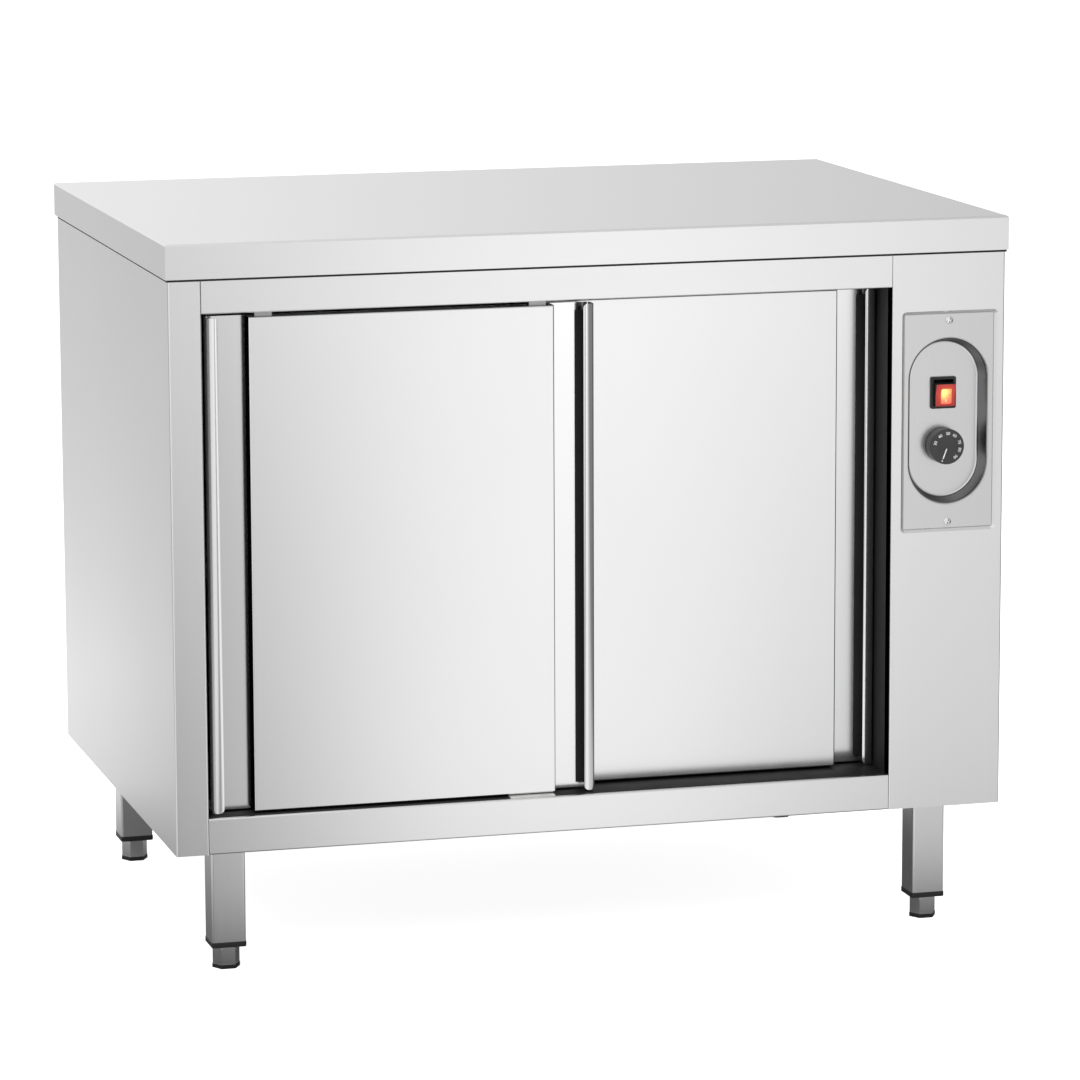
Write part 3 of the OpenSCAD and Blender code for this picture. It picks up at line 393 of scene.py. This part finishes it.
def smooth_copy(node, edge):
    """A joined-up copy of a CAD node with eased edges and smooth bends, in the node's place."""
    shape = bmesh.new()
    shape.from_mesh(frame["nodes"][node].data)
    bmesh.ops.remove_doubles(shape, verts=shape.verts, dist=SAME_POINT)
    bmesh.ops.dissolve_limit(shape, angle_limit=FLAT_ENOUGH, verts=shape.verts,
                             edges=shape.edges)
    piece = new_piece(node + "_eased", closed_mesh(shape, node + "_eased"))
    paint(piece, FINISH[node])
    ease_edges(piece, edge, EASE_ANGLE)
    even_shading(piece, SHADE_ANGLE)
    if node.endswith("door_back"):
        rolled_lips(piece)
    if node in SECOND_FINISH:
        material, chosen = SECOND_FINISH[node]
        piece.data.materials.append(material)
        for face in piece.data.polygons:
            if chosen(face):
                face.material_index = 1
    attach(piece, BODY_OF[node])
    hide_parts(node)


def rolled_lips(piece):
    """Turns the normals of both flat grip lips, so that they shade as rolls from tip to edge."""
    mesh = piece.data
    xs = [v.co.x for v in mesh.vertices]
    front = min(v.co.y for v in mesh.vertices)
    left, right = min(xs), max(xs)
    normals = [Vector(n.vector) for n in mesh.corner_normals]
    for face in mesh.polygons:
        if face.center.y > front + LIP_DEPTH or face.normal.y > -0.5:
            continue
        for corner in face.loop_indices:
            x = mesh.vertices[mesh.loops[corner].vertex_index].co.x
            from_edge, outward = (x - left, -1) if x < (left + right) / 2 else (right - x, 1)
            across = min(1.0, max(0.0, from_edge / LIP_WIDTH))
            roll = math.radians(ROLL_AT_EDGE - ROLL_ACROSS * across)
            normals[corner] = Vector((outward * math.sin(roll), -math.cos(roll), 0))
    mesh.normals_split_custom_set(normals)


EASED = {
    "worktop": 0.0004, "left_side_panel": 0.00025, "right_side_panel": 0.0002,
    "top_rail": 0.00025, "bottom_rail": 0.00025, "control_plate": 0.0002,
    "left_door_panel": 0.00025, "right_door_panel": 0.00025, "left_door_back": 0.0002,
    "right_door_back": 0.0002, "switch_housing": 0.0005, "thermostat_knob": 0.0003,
    "leg_caps": 0.0006, "shelf": 0.00025,
    "leg_front_left": 0.0003, "leg_front_right": 0.0003, "leg_back_left": 0.0003,
    "leg_back_right": 0.0003, "switch_rocker": 0.0006,
}

# Right of this are the outer faces of the right side, which stay bright without painted shade
JAMB_LIMIT_X = 0.45
# Reach of the recess from its middle, with a little to spare, and its floor
RECESS_HALF_WIDTH = 0.053
RECESS_HALF_HEIGHT = 0.102
RECESS_FLOOR_Y = -0.325
FOOT_RING_TOP = 0.00505


# Sideways faces that get a painted-shade finish on the doors, door backs and jamb
def faces_sideways(face):
    return abs(face.normal.x) > 0.8 and face.center.x < JAMB_LIMIT_X


def recess_wall(face):
    place = face.center
    return (abs(face.normal.y) < 0.85 and abs(place.x - COLUMN_X) < RECESS_HALF_WIDTH
            and abs(place.z - RECESS_Z) < RECESS_HALF_HEIGHT and place.y < RECESS_FLOOR_Y)


def faces_user(face):
    return face.normal.y < -0.6


def in_foot_ring(face):
    return face.center.z < FOOT_RING_TOP


# The dark steel, edge and recess finishes here are painted shade
SECOND_FINISH = {
    "left_door_panel": (FOLD_PAINTED_SHADE, faces_sideways),
    "right_door_panel": (FOLD_PAINTED_SHADE, faces_sideways),
    "right_side_panel": (JAMB_PAINTED_SHADE, faces_sideways),
    "left_door_back": (EDGE_PAINTED_SHADE, faces_sideways),
    "right_door_back": (EDGE_PAINTED_SHADE, faces_sideways),
    "control_plate": (RECESS_WALL_PAINTED_SHADE, recess_wall),
    "switch_rocker": (ROCKER_RED, faces_user),
}
for foot in ("foot_front_left", "foot_front_right", "foot_back_left", "foot_back_right"):
    EASED[foot] = 0.0004
    SECOND_FINISH[foot] = (FOOT_BLACK, in_foot_ring)

for node_name, edge in EASED.items():
    smooth_copy(node_name, edge)


# Pieces that repeat


def copies_tree(name):
    """Node tree that sets copies of the piece's own mesh in rows and columns."""
    tree = bpy.data.node_groups.new(name, "GeometryNodeTree")
    face = tree.interface
    face.new_socket("Geometry", in_out="INPUT", socket_type="NodeSocketGeometry")
    for label, kind, value in (
        ("Across", "NodeSocketInt", 1), ("Up", "NodeSocketInt", 1),
        ("Step Across", "NodeSocketFloat", 0.1), ("Step Up", "NodeSocketFloat", 0.1),
        ("Start", "NodeSocketVector", (0, 0, 0)), ("Finish", "NodeSocketMaterial", None),
    ):
        socket = face.new_socket(label, in_out="INPUT", socket_type=kind)
        if value is not None:
            socket.default_value = value
    face.new_socket("Geometry", in_out="OUTPUT", socket_type="NodeSocketGeometry")
    add, join = tree.nodes.new, tree.links.new
    given, result = add("NodeGroupInput"), add("NodeGroupOutput")
    step_across, step_up = add("ShaderNodeCombineXYZ"), add("ShaderNodeCombineXYZ")
    join(given.outputs["Step Across"], step_across.inputs["X"])
    join(given.outputs["Step Up"], step_up.inputs["Z"])
    row, column = add("GeometryNodeMeshLine"), add("GeometryNodeMeshLine")
    join(given.outputs["Across"], row.inputs["Count"])
    join(given.outputs["Start"], row.inputs["Start Location"])
    join(step_across.outputs[0], row.inputs["Offset"])
    join(given.outputs["Up"], column.inputs["Count"])
    join(step_up.outputs[0], column.inputs["Offset"])
    rows, real_points = add("GeometryNodeInstanceOnPoints"), add("GeometryNodeRealizeInstances")
    join(row.outputs["Mesh"], rows.inputs["Points"])
    join(column.outputs["Mesh"], rows.inputs["Instance"])
    join(rows.outputs[0], real_points.inputs[0])
    place = add("GeometryNodeInstanceOnPoints")
    join(real_points.outputs[0], place.inputs["Points"])
    join(given.outputs["Geometry"], place.inputs["Instance"])
    real, finish = add("GeometryNodeRealizeInstances"), add("GeometryNodeSetMaterial")
    join(place.outputs[0], real.inputs[0])
    join(real.outputs[0], finish.inputs["Geometry"])
    join(given.outputs["Finish"], finish.inputs["Material"])
    join(finish.outputs[0], result.inputs[0])
    return tree


COPIES = copies_tree("rows_of_a_piece")


def repeated(name, one, start, across, up, step_across, step_up, finish, body):
    """One small mesh set in rows by the node tree, as a single plain piece riding on body."""
    piece = new_piece(name, one)
    rows = piece.modifiers.new("rows", "NODES")
    rows.node_group = COPIES
    inputs = {i.name: i.identifier for i in COPIES.interface.items_tree
              if i.item_type == "SOCKET" and i.in_out == "INPUT"}
    for label, value in (("Across", across), ("Up", up), ("Step Across", step_across),
                         ("Step Up", step_up), ("Start", start), ("Finish", finish)):
        rows[inputs[label]] = value
    plain(piece)
    paint(piece, finish)
    piece.data.set_sharp_from_angle(angle=SHARP_ANGLE)
    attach(piece, body)
    return piece


# Cross-head screws

# Half width and reach of the cross, as shares of the head's radius
CROSS_HALF_WIDTH = 0.15
CROSS_REACH = 0.62
CROSS_TURN = math.radians(22)
PLATE_SHANK_R = 0.0019
BACK_HEAD_R = 0.004
BACK_SCREW_ROWS = 6


def cross_head(radius, height, facing, shank_r, shank_l):
    """Pan-head screw seen from facing (-1 front, +1 back): dome with a cross recess, and shank."""
    shape = bmesh.new()
    rings = 8
    around = 64
    profile = [(shank_r, -shank_l), (shank_r, 0), (radius * 0.97, 0)]
    profile += [(radius * math.cos(t) ** 0.6, height * math.sin(t))
                for t in [math.pi / 2 * k / rings for k in range(1, rings)]]
    outer = []
    for r, h in profile:
        outer.append([shape.verts.new((r * math.cos(2 * math.pi * a / around), h,
                                       r * math.sin(2 * math.pi * a / around)))
                      for a in range(around)])
    for low, high in zip(outer, outer[1:]):
        for a in range(around):
            b = (a + 1) % around
            shape.faces.new((low[a], low[b], high[b], high[a]))
    shape.faces.new(outer[0])
    top = shape.verts.new((0, height, 0))
    for a in range(around):
        shape.faces.new((outer[-1][a], outer[-1][(a + 1) % around], top))
    dome = new_piece("screw_dome", closed_mesh(shape, "screw_dome"))
    cutter = bmesh.new()
    half, reach = radius * CROSS_HALF_WIDTH, radius * CROSS_REACH
    for w, l in ((half, reach), (reach, half)):
        bar = bmesh.ops.create_cube(cutter, size=1)["verts"]
        bmesh.ops.scale(cutter, vec=(2 * w, 2 * height, 2 * l), verts=bar)
        bmesh.ops.translate(cutter, vec=(0, height * 1.25, 0), verts=bar)
    cross = new_piece("screw_cross", mesh_of(cutter, "screw_cross"))
    cut = dome.modifiers.new("cross", "BOOLEAN")
    cut.operation = "DIFFERENCE"
    cut.object = cross
    cut.use_self = True
    cut.solver = "EXACT"
    bpy.context.view_layer.update()
    plain(dome)
    result = dome.data
    bpy.data.objects.remove(dome)
    bpy.data.objects.remove(cross)
    turned = Matrix.Diagonal((1, facing, 1, 1))
    result.transform(turned @ Matrix.Rotation(CROSS_TURN, 4, "Y"))
    if facing < 0:
        result.flip_normals()
    return result


def darken_cross(piece, radius, middles):
    """Painted shade: the walls of the cross recess are made dark."""
    piece.data.materials.append(SCREW_RECESS_SHADE)
    limit = (CROSS_REACH + 0.04) * radius
    for face in piece.data.polygons:
        place = face.center
        away = min(math.hypot(place.x - x, place.z - z) for x, z in middles)
        if away < limit and abs(face.normal.y) < 0.3:
            face.material_index = 1


def plate_screw_heads():
    """The two screws of the control plate, in place of the plain CAD screws."""
    low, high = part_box("control_plate_screws")
    x = (low.x + high.x) / 2
    radius = (high.x - low.x) / 2
    lower, upper = low.z + radius, high.z - radius
    head = cross_head(radius, plate_low.y - low.y, -1, PLATE_SHANK_R, high.y - plate_low.y)
    heads = repeated("control_plate_cross_heads", head, (x, plate_low.y, lower), 1, 2, 0.0,
                     upper - lower, PLATED, "cabinet")
    darken_cross(heads, radius, [(x, lower), (x, upper)])
    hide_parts("control_plate_screws")


def back_screw_heads():
    """The two columns of screws in the back panel, in place of the plain CAD screws."""
    low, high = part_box("back_screws")
    face_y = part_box("back_panel")[1].y
    r = BACK_HEAD_R
    head = cross_head(r, high.y - face_y, 1, 0.4 * r, face_y - low.y)
    heads = repeated("back_cross_heads", head, (low.x + r, face_y, low.z + r), 2,
                     BACK_SCREW_ROWS, high.x - low.x - 2 * r,
                     (high.z - low.z - 2 * r) / (BACK_SCREW_ROWS - 1), PLATED, "cabinet")
    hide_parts("back_screws")


plate_screw_heads()
back_screw_heads()


# Dial and switch

DIAL_NUMERALS = (("30", 162), ("40", 125), ("50", 88), ("60", 55), ("70", 19), ("80", -15),
                 ("90", -50))
NUMERAL_HEIGHT = 0.0036
PRINT_THICK = 0.00012
POINTER_DEGREES = 249
# Places of the marks from the dial's middle, as shares of its radius
NUMERALS_AT = 0.74
POINTER_AT = 0.42
DOT_AT = 0.84
POINTER_LENGTH = 0.62

# Bend of the rocker's face in the CAD part, and the lean of the half above it
KNEE_Y, KNEE_Z = -0.33307, 0.63969
ROCKER_LEAN = math.radians(16)


def printed(name, text):
    """A short printed mark as a thin solid, centred on the origin in the x-z plane."""
    curve = bpy.data.curves.new(name, "FONT")
    curve.body = text
    curve.size = NUMERAL_HEIGHT / 0.7
    curve.extrude = PRINT_THICK / 2
    curve.align_x = "CENTER"
    curve.align_y = "CENTER"
    curve.resolution_u = 3
    holder = new_piece(name, curve)
    bpy.context.view_layer.update()
    mesh = bpy.data.meshes.new_from_object(
        holder.evaluated_get(bpy.context.evaluated_depsgraph_get()))
    bpy.data.objects.remove(holder)
    mesh.transform(Matrix.Rotation(math.radians(90), 4, "X"))
    return mesh


def joined(name, meshes, finish, body):
    """Several meshes in place as one piece on body."""
    shape = bmesh.new()
    for mesh in meshes:
        shape.from_mesh(mesh)
    piece = new_piece(name, mesh_of(shape, name))
    paint(piece, finish)
    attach(piece, body)
    return piece


def flat_bar(length, width, thick=0.00024):
    """Thin rounded bar in the x-z plane, lying along z."""
    shape = bmesh.new()
    steps = 8
    outline = [(width / 2 * math.cos(t), length / 2 - width / 2 + width / 2 * math.sin(t))
               for t in [math.pi * k / steps for k in range(steps + 1)]]
    outline += [(-x, -z) for x, z in outline]
    front = [shape.verts.new((x, -thick / 2, z)) for x, z in outline]
    back = [shape.verts.new((x, thick / 2, z)) for x, z in outline]
    shape.faces.new(front)
    shape.faces.new(back[::-1])
    for k in range(len(outline)):
        m = (k + 1) % len(outline)
        shape.faces.new((front[k], back[k], back[m], front[m]))
    return closed_mesh(shape, "bar")


def dial_marks():
    """Numerals round the dial, its pointer line and the dot at the pointer's end."""
    low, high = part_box("thermostat_knob")
    middle_x, middle_z = (low.x + high.x) / 2, (low.z + high.z) / 2
    radius = (high.x - low.x) / 2

    def placed(mesh, degrees, share, turned=True):
        a = math.radians(degrees)
        if turned:
            mesh.transform(Matrix.Rotation(-(a - math.pi / 2), 4, "Y"))
        mesh.transform(Matrix.Translation((middle_x + radius * share * math.cos(a), low.y,
                                           middle_z + radius * share * math.sin(a))))
        return mesh

    marks = [placed(printed("mark_" + text, text), degrees, NUMERALS_AT)
             for text, degrees in DIAL_NUMERALS]
    marks.append(placed(flat_bar(radius * POINTER_LENGTH, 0.0013), POINTER_DEGREES, POINTER_AT))
    marks.append(placed(flat_bar(0.0016, 0.00159), POINTER_DEGREES, DOT_AT, turned=False))
    dial_print = joined("dial_numerals", marks, PRINT_WHITE, "dial")


def rocker_face(z):
    """Front of the rocker at height z: flat below its knee, leaning out above it."""
    return KNEE_Y - max(0.0, z - KNEE_Z) * math.tan(ROCKER_LEAN)


def rocker_plate(name, middle, width, bottom, top, radius, proud, finish):
    """Plate with round corners that follows the rocker's bent face and stands proud of it."""
    shape = bmesh.new()
    rows = []
    steps = 40
    sunk = 0.0004
    for k in range(steps + 1):
        z = bottom + (top - bottom) * (0.5 - 0.5 * math.cos(math.pi * k / steps))
        near = min(z - bottom, top - z, radius)
        half = width / 2 - radius + math.sqrt(max(0.0, radius ** 2 - (radius - near) ** 2))
        y = rocker_face(z)
        rows.append([shape.verts.new(v) for v in (
            (middle - half, y - proud, z), (middle + half, y - proud, z),
            (middle + half, y + sunk, z), (middle - half, y + sunk, z))])
    for low_row, high_row in zip(rows, rows[1:]):
        for k in range(4):
            m = (k + 1) % 4
            shape.faces.new((low_row[k], low_row[m], high_row[m], high_row[k]))
    shape.faces.new(rows[0])
    shape.faces.new(rows[-1][::-1])
    piece = new_piece(name, closed_mesh(shape, name))
    paint(piece, finish)
    ease_edges(piece, proud * 0.5, 40)
    even_shading(piece, SHADE_ANGLE)
    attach(piece, "rocker")


def rocker_lens():
    """The lit window in the rocker's face and the white mark on it."""
    low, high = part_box("switch_rocker")
    middle = (low.x + high.x) / 2
    proud = 0.0007
    rocker_plate("rocker_window", middle + 0.0010, width=0.0127, bottom=0.6292, top=0.6470,
                 radius=0.0016, proud=proud, finish=LAMP_WINDOW)
    mark_z = 0.6332
    on_mark = flat_bar(0.0034, 0.0008, 0.0003)
    on_mark.transform(Matrix.Translation((middle + 0.0006, rocker_face(mark_z) - proud, mark_z)))
    joined("rocker_on_mark", [on_mark], PRINT_WHITE, "rocker")


dial_marks()
rocker_lens()


# Black strips of painted shade: behind the grip lips, under the worktop's skirt, on the rail


def drawn(name, outline, along, start, end, finish, body):
    """Strip of constant section: its outline across the two other axes, drawn along one."""
    shape = bmesh.new()
    ends = []
    for at in (start, end):
        ring = []
        for pair in outline:
            place = list(pair)
            place.insert("xyz".index(along), at)
            ring.append(shape.verts.new(place))
        ends.append(ring)
    shape.faces.new(ends[0])
    shape.faces.new(ends[1][::-1])
    for k in range(len(outline)):
        m = (k + 1) % len(outline)
        shape.faces.new((ends[0][k], ends[0][m], ends[1][m], ends[1][k]))
    mesh = closed_mesh(shape, name)
    piece = new_piece(name, mesh)
    paint(piece, finish)
    mesh.set_sharp_from_angle(angle=SHARP_ANGLE)
    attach(piece, body)


def grip_shade_outline(edge, front):
    """L-section inside a door's right edge: on the web, round the bend, on the back sheet."""
    web, foot, depth, reach = 0.001, 0.0065, 0.020, 0.0180
    bend, thick = 0.0035, 0.0008
    middle = (web + bend, depth - bend)
    outer = [(web, foot)]
    inner = [(web + thick, foot)]
    for k in range(5):
        t = math.radians(22.5 * k)
        for side, r in ((outer, bend), (inner, bend - thick)):
            side.append((middle[0] - r * math.cos(t), middle[1] + r * math.sin(t)))
    outer.append((reach, depth))
    inner.append((reach, depth - thick))
    return [(edge - x, front + y) for x, y in outer + inner[::-1]]


def grip_shade_strips():
    """Black strip of painted shade behind the right-hand grip lip of each door."""
    above_foot, below_top = 0.006, 0.009
    for side in ("left", "right"):
        low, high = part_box(side + "_door_back")
        drawn(side + "_door_grip_painted_shade", grip_shade_outline(high.x, low.y), "z",
              low.z + above_foot, high.z - below_top, PAINTED_SHADE_BLACK, side + "_door")


def skirt_shade_strip():
    """Black strip of painted shade round three sides of the body, just under the worktop's skirt.
    """
    low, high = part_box("left_side_panel")[0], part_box("right_side_panel")[1]
    inner, outer, end = 0.0003, 0.0012, 0.338
    skirt_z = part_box("worktop")[0].z
    outline = [(low.x - outer, end), (low.x - outer, low.y - outer),
               (high.x + outer, low.y - outer), (high.x + outer, end),
               (high.x + inner, end), (high.x + inner, low.y - inner),
               (low.x - inner, low.y - inner), (low.x - inner, end)]
    drawn("skirt_shade_strip", outline, "z", skirt_z - 0.0024, skirt_z - 0.0001, PAINTED_SHADE_BLACK, "cabinet")


def rail_shade_strips():
    """Low black strips of painted shade on the bottom rail, left and right of the guide."""
    low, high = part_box("bottom_rail")
    guide_low, guide_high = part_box("bottom_guide")
    rise, to_end, to_guide = 0.0006, 0.001, 0.0005
    outline = [(low.y + 0.0045, high.z), (low.y + 0.0055, high.z + rise),
               (high.y - 0.001, high.z + rise), (high.y, high.z)]
    for name, start, end in (("left_rail_shade_strip", low.x + to_end, guide_low.x - to_guide),
                             ("right_rail_shade_strip", guide_high.x + to_guide, high.x - to_end)):
        drawn(name, outline, "x", start, end, PAINTED_SHADE_BLACK, "cabinet")


grip_shade_strips()
skirt_shade_strip()
rail_shade_strips()


# Louvre hoods over the rear slots


def louvre_hood(width, rise, depth, thick):
    """Pressed hood for a slot, open below: quarter-round from the panel out and down."""
    shape = bmesh.new()
    steps = 8
    rings = []
    for inset in (0.0, thick):
        ring = []
        for k in range(steps + 1):
            t = math.pi / 2 * k / steps
            y = (depth - inset) * math.sin(t)
            z = (rise - inset) * math.cos(t)
            half = width / 2 - inset - 0.5 * y
            ring.append([shape.verts.new((x, y, z)) for x in (-half, half)])
        rings.append(ring)
    outer, inner = rings
    for k in range(steps):
        shape.faces.new((outer[k][0], outer[k][1], outer[k + 1][1], outer[k + 1][0]))
        shape.faces.new((inner[k][0], inner[k + 1][0], inner[k + 1][1], inner[k][1]))
    shape.faces.new((outer[-1][0], outer[-1][1], inner[-1][1], inner[-1][0]))
    for end in (0, 1):
        foot_out = shape.verts.new((outer[0][end].co.x, 0, 0))
        foot_in = shape.verts.new((inner[0][end].co.x, 0, 0))
        shape.faces.new([outer[k][end] for k in range(steps + 1)] + [foot_out])
        shape.faces.new([inner[k][end] for k in range(steps + 1)] + [foot_in])
        shape.faces.new((outer[-1][end], inner[-1][end], foot_in, foot_out))
    return closed_mesh(shape, "louvre_hood")


def louvres():
    """Two stacks of hoods on the back panel, over the slots behind the control column."""
    face_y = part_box("back_panel")[1].y
    slots, pitch = 8, 0.012
    for name, height in (("lower_louvres", 0.2036), ("upper_louvres", 0.6541)):
        hood = louvre_hood(width=0.084, rise=0.0055, depth=0.0016, thick=0.0005)
        repeated(name, hood, (COLUMN_X, face_y, height), 1, slots, 0.0, pitch, STEEL_X, "cabinet")


louvres()


# Room, light and camera

CAMERA_TURN = math.radians(-15.454)
CAMERA_RISE = math.radians(9.966)
CAMERA_ROLL = math.radians(-0.213)
CAMERA_BACK = Vector((math.sin(CAMERA_TURN) * math.cos(CAMERA_RISE),
                      -math.cos(CAMERA_TURN) * math.cos(CAMERA_RISE), math.sin(CAMERA_RISE)))
CAMERA_PLACE = Vector((0.028665, 0.0, 0.431387)) + CAMERA_BACK * 6.19158

# Tones of the floor as the steel mirrors it, set for this camera's place. They are not
# the white that the camera sees: 1 is white, and over the middle of the front they go past it.
FRONT_TONES = (
    (-3.0, 0.85), (-1.2, 1.0), (-0.95, 0.88), (-0.75, 0.40), (-0.5, 0.47), (-0.35, 0.82),
    (-0.2, 1.16), (-0.05, 1.25), (0.1, 1.20), (0.25, 1.0), (0.4, 0.87), (0.6, 0.85),
    (0.9, 0.6), (1.3, 0.25), (3.0, 0.25))
FAR_TONES = ((-8.0, 1.32), (-6.0, 1.14), (-3.0, 1.0), (-1.2, 0.93), (0.0, 0.90))
SIDE_TONES = ((-1.0, 0.54), (-0.45, 0.55), (-0.1, 0.64), (0.35, 0.90), (1.0, 0.90))
LEFT_TONES = ((-2.0, 0.78), (-1.0, 0.92), (-0.75, 1.16), (0.0, 1.16))
BESIDE_TONES = ((0.0, 0.11), (0.2, 0.5), (0.3, 0.86), (0.5, 1.0))
BEFORE_TONES = ((0.0, 0.11), (0.45, 0.86), (1.2, 1.0))
# Half the width and depth of the darkest floor under the cabinet
UNDER_HALF_WIDTH = 0.40
UNDER_HALF_DEPTH = 0.25
FLOOR_GLOW = 0.86
ROOM_LEFT = 0.97
ROOM_RIGHT = 0.62
ROOM_FILL = 0.55


def tones(n, value, points):
    """Greys that follow a value, straight between the given points."""
    low, high = points[0][0], points[-1][0]
    ramp = n.tree.nodes.new("ShaderNodeValToRGB")
    n.put(ramp.inputs[0], n.spread(value, low, high, 0, 1))
    stops = ramp.color_ramp
    while len(stops.elements) < len(points):
        stops.elements.new(0.5)
    for element, (at, tone) in zip(stops.elements, points):
        element.position = (at - low) / (high - low)
        element.color = (tone, tone, tone, 1)
    return ramp.outputs[0]


def mixed_shader(tree, share, first, second):
    """The first shader where the share is 0, the second where it is 1."""
    node = tree.nodes.new("ShaderNodeMixShader")
    for socket, value in zip(node.inputs, (share, first, second)):
        tree.links.new(value, socket)
    return node.outputs[0]


def mirrored_floor(n):
    """Tone of each floor point as the steel shows it."""
    where = n.tree.nodes.new("ShaderNodeSeparateXYZ")
    n.put(where.inputs[0], n.place)
    x, y = where.outputs["X"], where.outputs["Y"]
    # how far along the front the floor point shows in the doors
    front_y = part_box("right_side_panel")[0].y
    along = n.math("DIVIDE", n.math("SUBTRACT", x, CAMERA_PLACE.x),
                   n.math("SUBTRACT", 2 * front_y - CAMERA_PLACE.y, y))
    along = n.math("ADD", n.math("MULTIPLY", along, front_y - CAMERA_PLACE.y), CAMERA_PLACE.x)
    # farther off, which shows higher up in the front, the floor is lighter
    front = n.math("MULTIPLY", tones(n, along, FRONT_TONES), tones(n, y, FAR_TONES))
    # behind the cabinet, seen in its left side
    deep = n.math("ADD", y, n.math("ADD", n.math("MULTIPLY", x, 3.52), 1.75))
    behind = n.math("MULTIPLY", tones(n, deep, SIDE_TONES), tones(n, x, LEFT_TONES))
    tone = n.mix(n.spread(y, -0.2, 0.4, 1, 0), behind, front)
    # painted shadow in the floor that the steel mirrors: darker under the cabinet and close in
    # front of it
    beside = n.math("SUBTRACT", n.math("ABSOLUTE", x), UNDER_HALF_WIDTH)
    before = n.math("SUBTRACT", n.math("ABSOLUTE", y), UNDER_HALF_DEPTH)
    near = n.math("MAXIMUM", tones(n, beside, BESIDE_TONES), tones(n, before, BEFORE_TONES))
    return n.mix(near, (0.0, 0.0, 0.0, 1), tone)


def studio_floor():
    """Pale floor: white to the camera apart from a soft shadow, with its own tones in the steel."""
    bpy.ops.mesh.primitive_plane_add(size=40, location=(0, 0, 0))
    floor = bpy.context.object
    floor.name = "floor"
    n = Nodes("studio_floor")
    n.tree.nodes.remove(n.shader)
    path = n.tree.nodes.new("ShaderNodeLightPath")
    matte = n.node("ShaderNodeBsdfDiffuse", Color=(0.8, 0.8, 0.8, 1))
    shown = n.node("ShaderNodeEmission", Color=(1, 1, 1, 1), Strength=FLOOR_GLOW)
    mirrored = n.node("ShaderNodeEmission", Strength=1.0, Color=mirrored_floor(n))
    seen = n.tree.nodes.new("ShaderNodeAddShader")
    n.put(seen.inputs[0], matte.outputs[0])
    n.put(seen.inputs[1], shown.outputs[0])
    to_camera = mixed_shader(n.tree, path.outputs["Is Camera Ray"], matte.outputs[0],
                             seen.outputs[0])
    all_rays = mixed_shader(n.tree, path.outputs["Is Glossy Ray"], to_camera,
                            mirrored.outputs[0])
    n.put(n.tree.nodes["Material Output"].inputs["Surface"], all_rays)
    paint(floor, n.material)


def studio_world():
    """White to the camera and through glass, a soft grey-to-white room in the steel."""
    world = bpy.data.worlds.new("studio")
    bpy.context.scene.world = world
    world.use_nodes = True
    tree = world.node_tree
    add, join = tree.nodes.new, tree.links.new
    tree.nodes.clear()
    out, path = add("ShaderNodeOutputWorld"), add("ShaderNodeLightPath")
    parts = add("ShaderNodeSeparateXYZ")
    join(add("ShaderNodeTexCoord").outputs["Generated"], parts.inputs[0])
    # brighter to the left, so the worktop pales from left to right
    ramp = add("ShaderNodeMapRange")
    join(parts.outputs["X"], ramp.inputs["Value"])
    for label, value in (("From Min", 0.17), ("From Max", 0.37), ("To Min", ROOM_LEFT),
                         ("To Max", ROOM_RIGHT)):
        ramp.inputs[label].default_value = value

    def background(strength):
        node = add("ShaderNodeBackground")
        node.inputs["Color"].default_value = (1, 1, 1, 1)
        node.inputs["Strength"].default_value = strength
        return node

    room = background(1.0)
    join(ramp.outputs[0], room.inputs["Strength"])
    seen = add("ShaderNodeMath")
    seen.operation = "MAXIMUM"
    join(path.outputs["Is Camera Ray"], seen.inputs[0])
    join(path.outputs["Is Transmission Ray"], seen.inputs[1])
    first = mixed_shader(tree, seen.outputs[0], background(ROOM_FILL).outputs[0],
                         background(1.0).outputs[0])
    second = mixed_shader(tree, path.outputs["Is Glossy Ray"], first, room.outputs[0])
    join(second, out.inputs["Surface"])


def soft_box(name, place, aim, size, watts):
    """Square lamp over the cabinet. The steel doesn't mirror it, only the room and the floor."""
    light = bpy.data.lights.new(name, "AREA")
    light.shape = "RECTANGLE"
    light.size, light.size_y = size
    light.energy = watts
    lamp = new_piece(name, light)
    lamp.visible_glossy = False
    lamp.location = place
    lamp.rotation_euler = (Vector(aim) - Vector(place)).to_track_quat("-Z", "Y").to_euler()


def studio_camera():
    """Camera at the photo's viewing angle, fitted to the cabinet's corners."""
    right = Vector((math.cos(CAMERA_TURN), math.sin(CAMERA_TURN), 0))
    up = CAMERA_BACK.cross(right)
    axis_x = right * math.cos(CAMERA_ROLL) + up * math.sin(CAMERA_ROLL)
    axis_y = up * math.cos(CAMERA_ROLL) - right * math.sin(CAMERA_ROLL)
    camera = bpy.data.cameras.new("camera")
    camera.lens = 169.28
    camera.sensor_width = 36.0
    camera.clip_end = 100
    holder = new_piece("camera", camera)
    turn = Matrix((axis_x, axis_y, CAMERA_BACK)).transposed().to_4x4()
    holder.matrix_world = Matrix.Translation(CAMERA_PLACE) @ turn
    bpy.context.scene.camera = holder


studio_floor()
studio_world()
soft_box("key", place=(-2.6, -3.2, 3.6), aim=(0, 0, 0.4), size=(2.4, 2.4), watts=120)
soft_box("top", place=(0.6, 0.4, 4.2), aim=(0, 0, 0.4), size=(3.0, 3.0), watts=90)
studio_camera()
bpy.context.scene.view_settings.view_transform = "Standard"
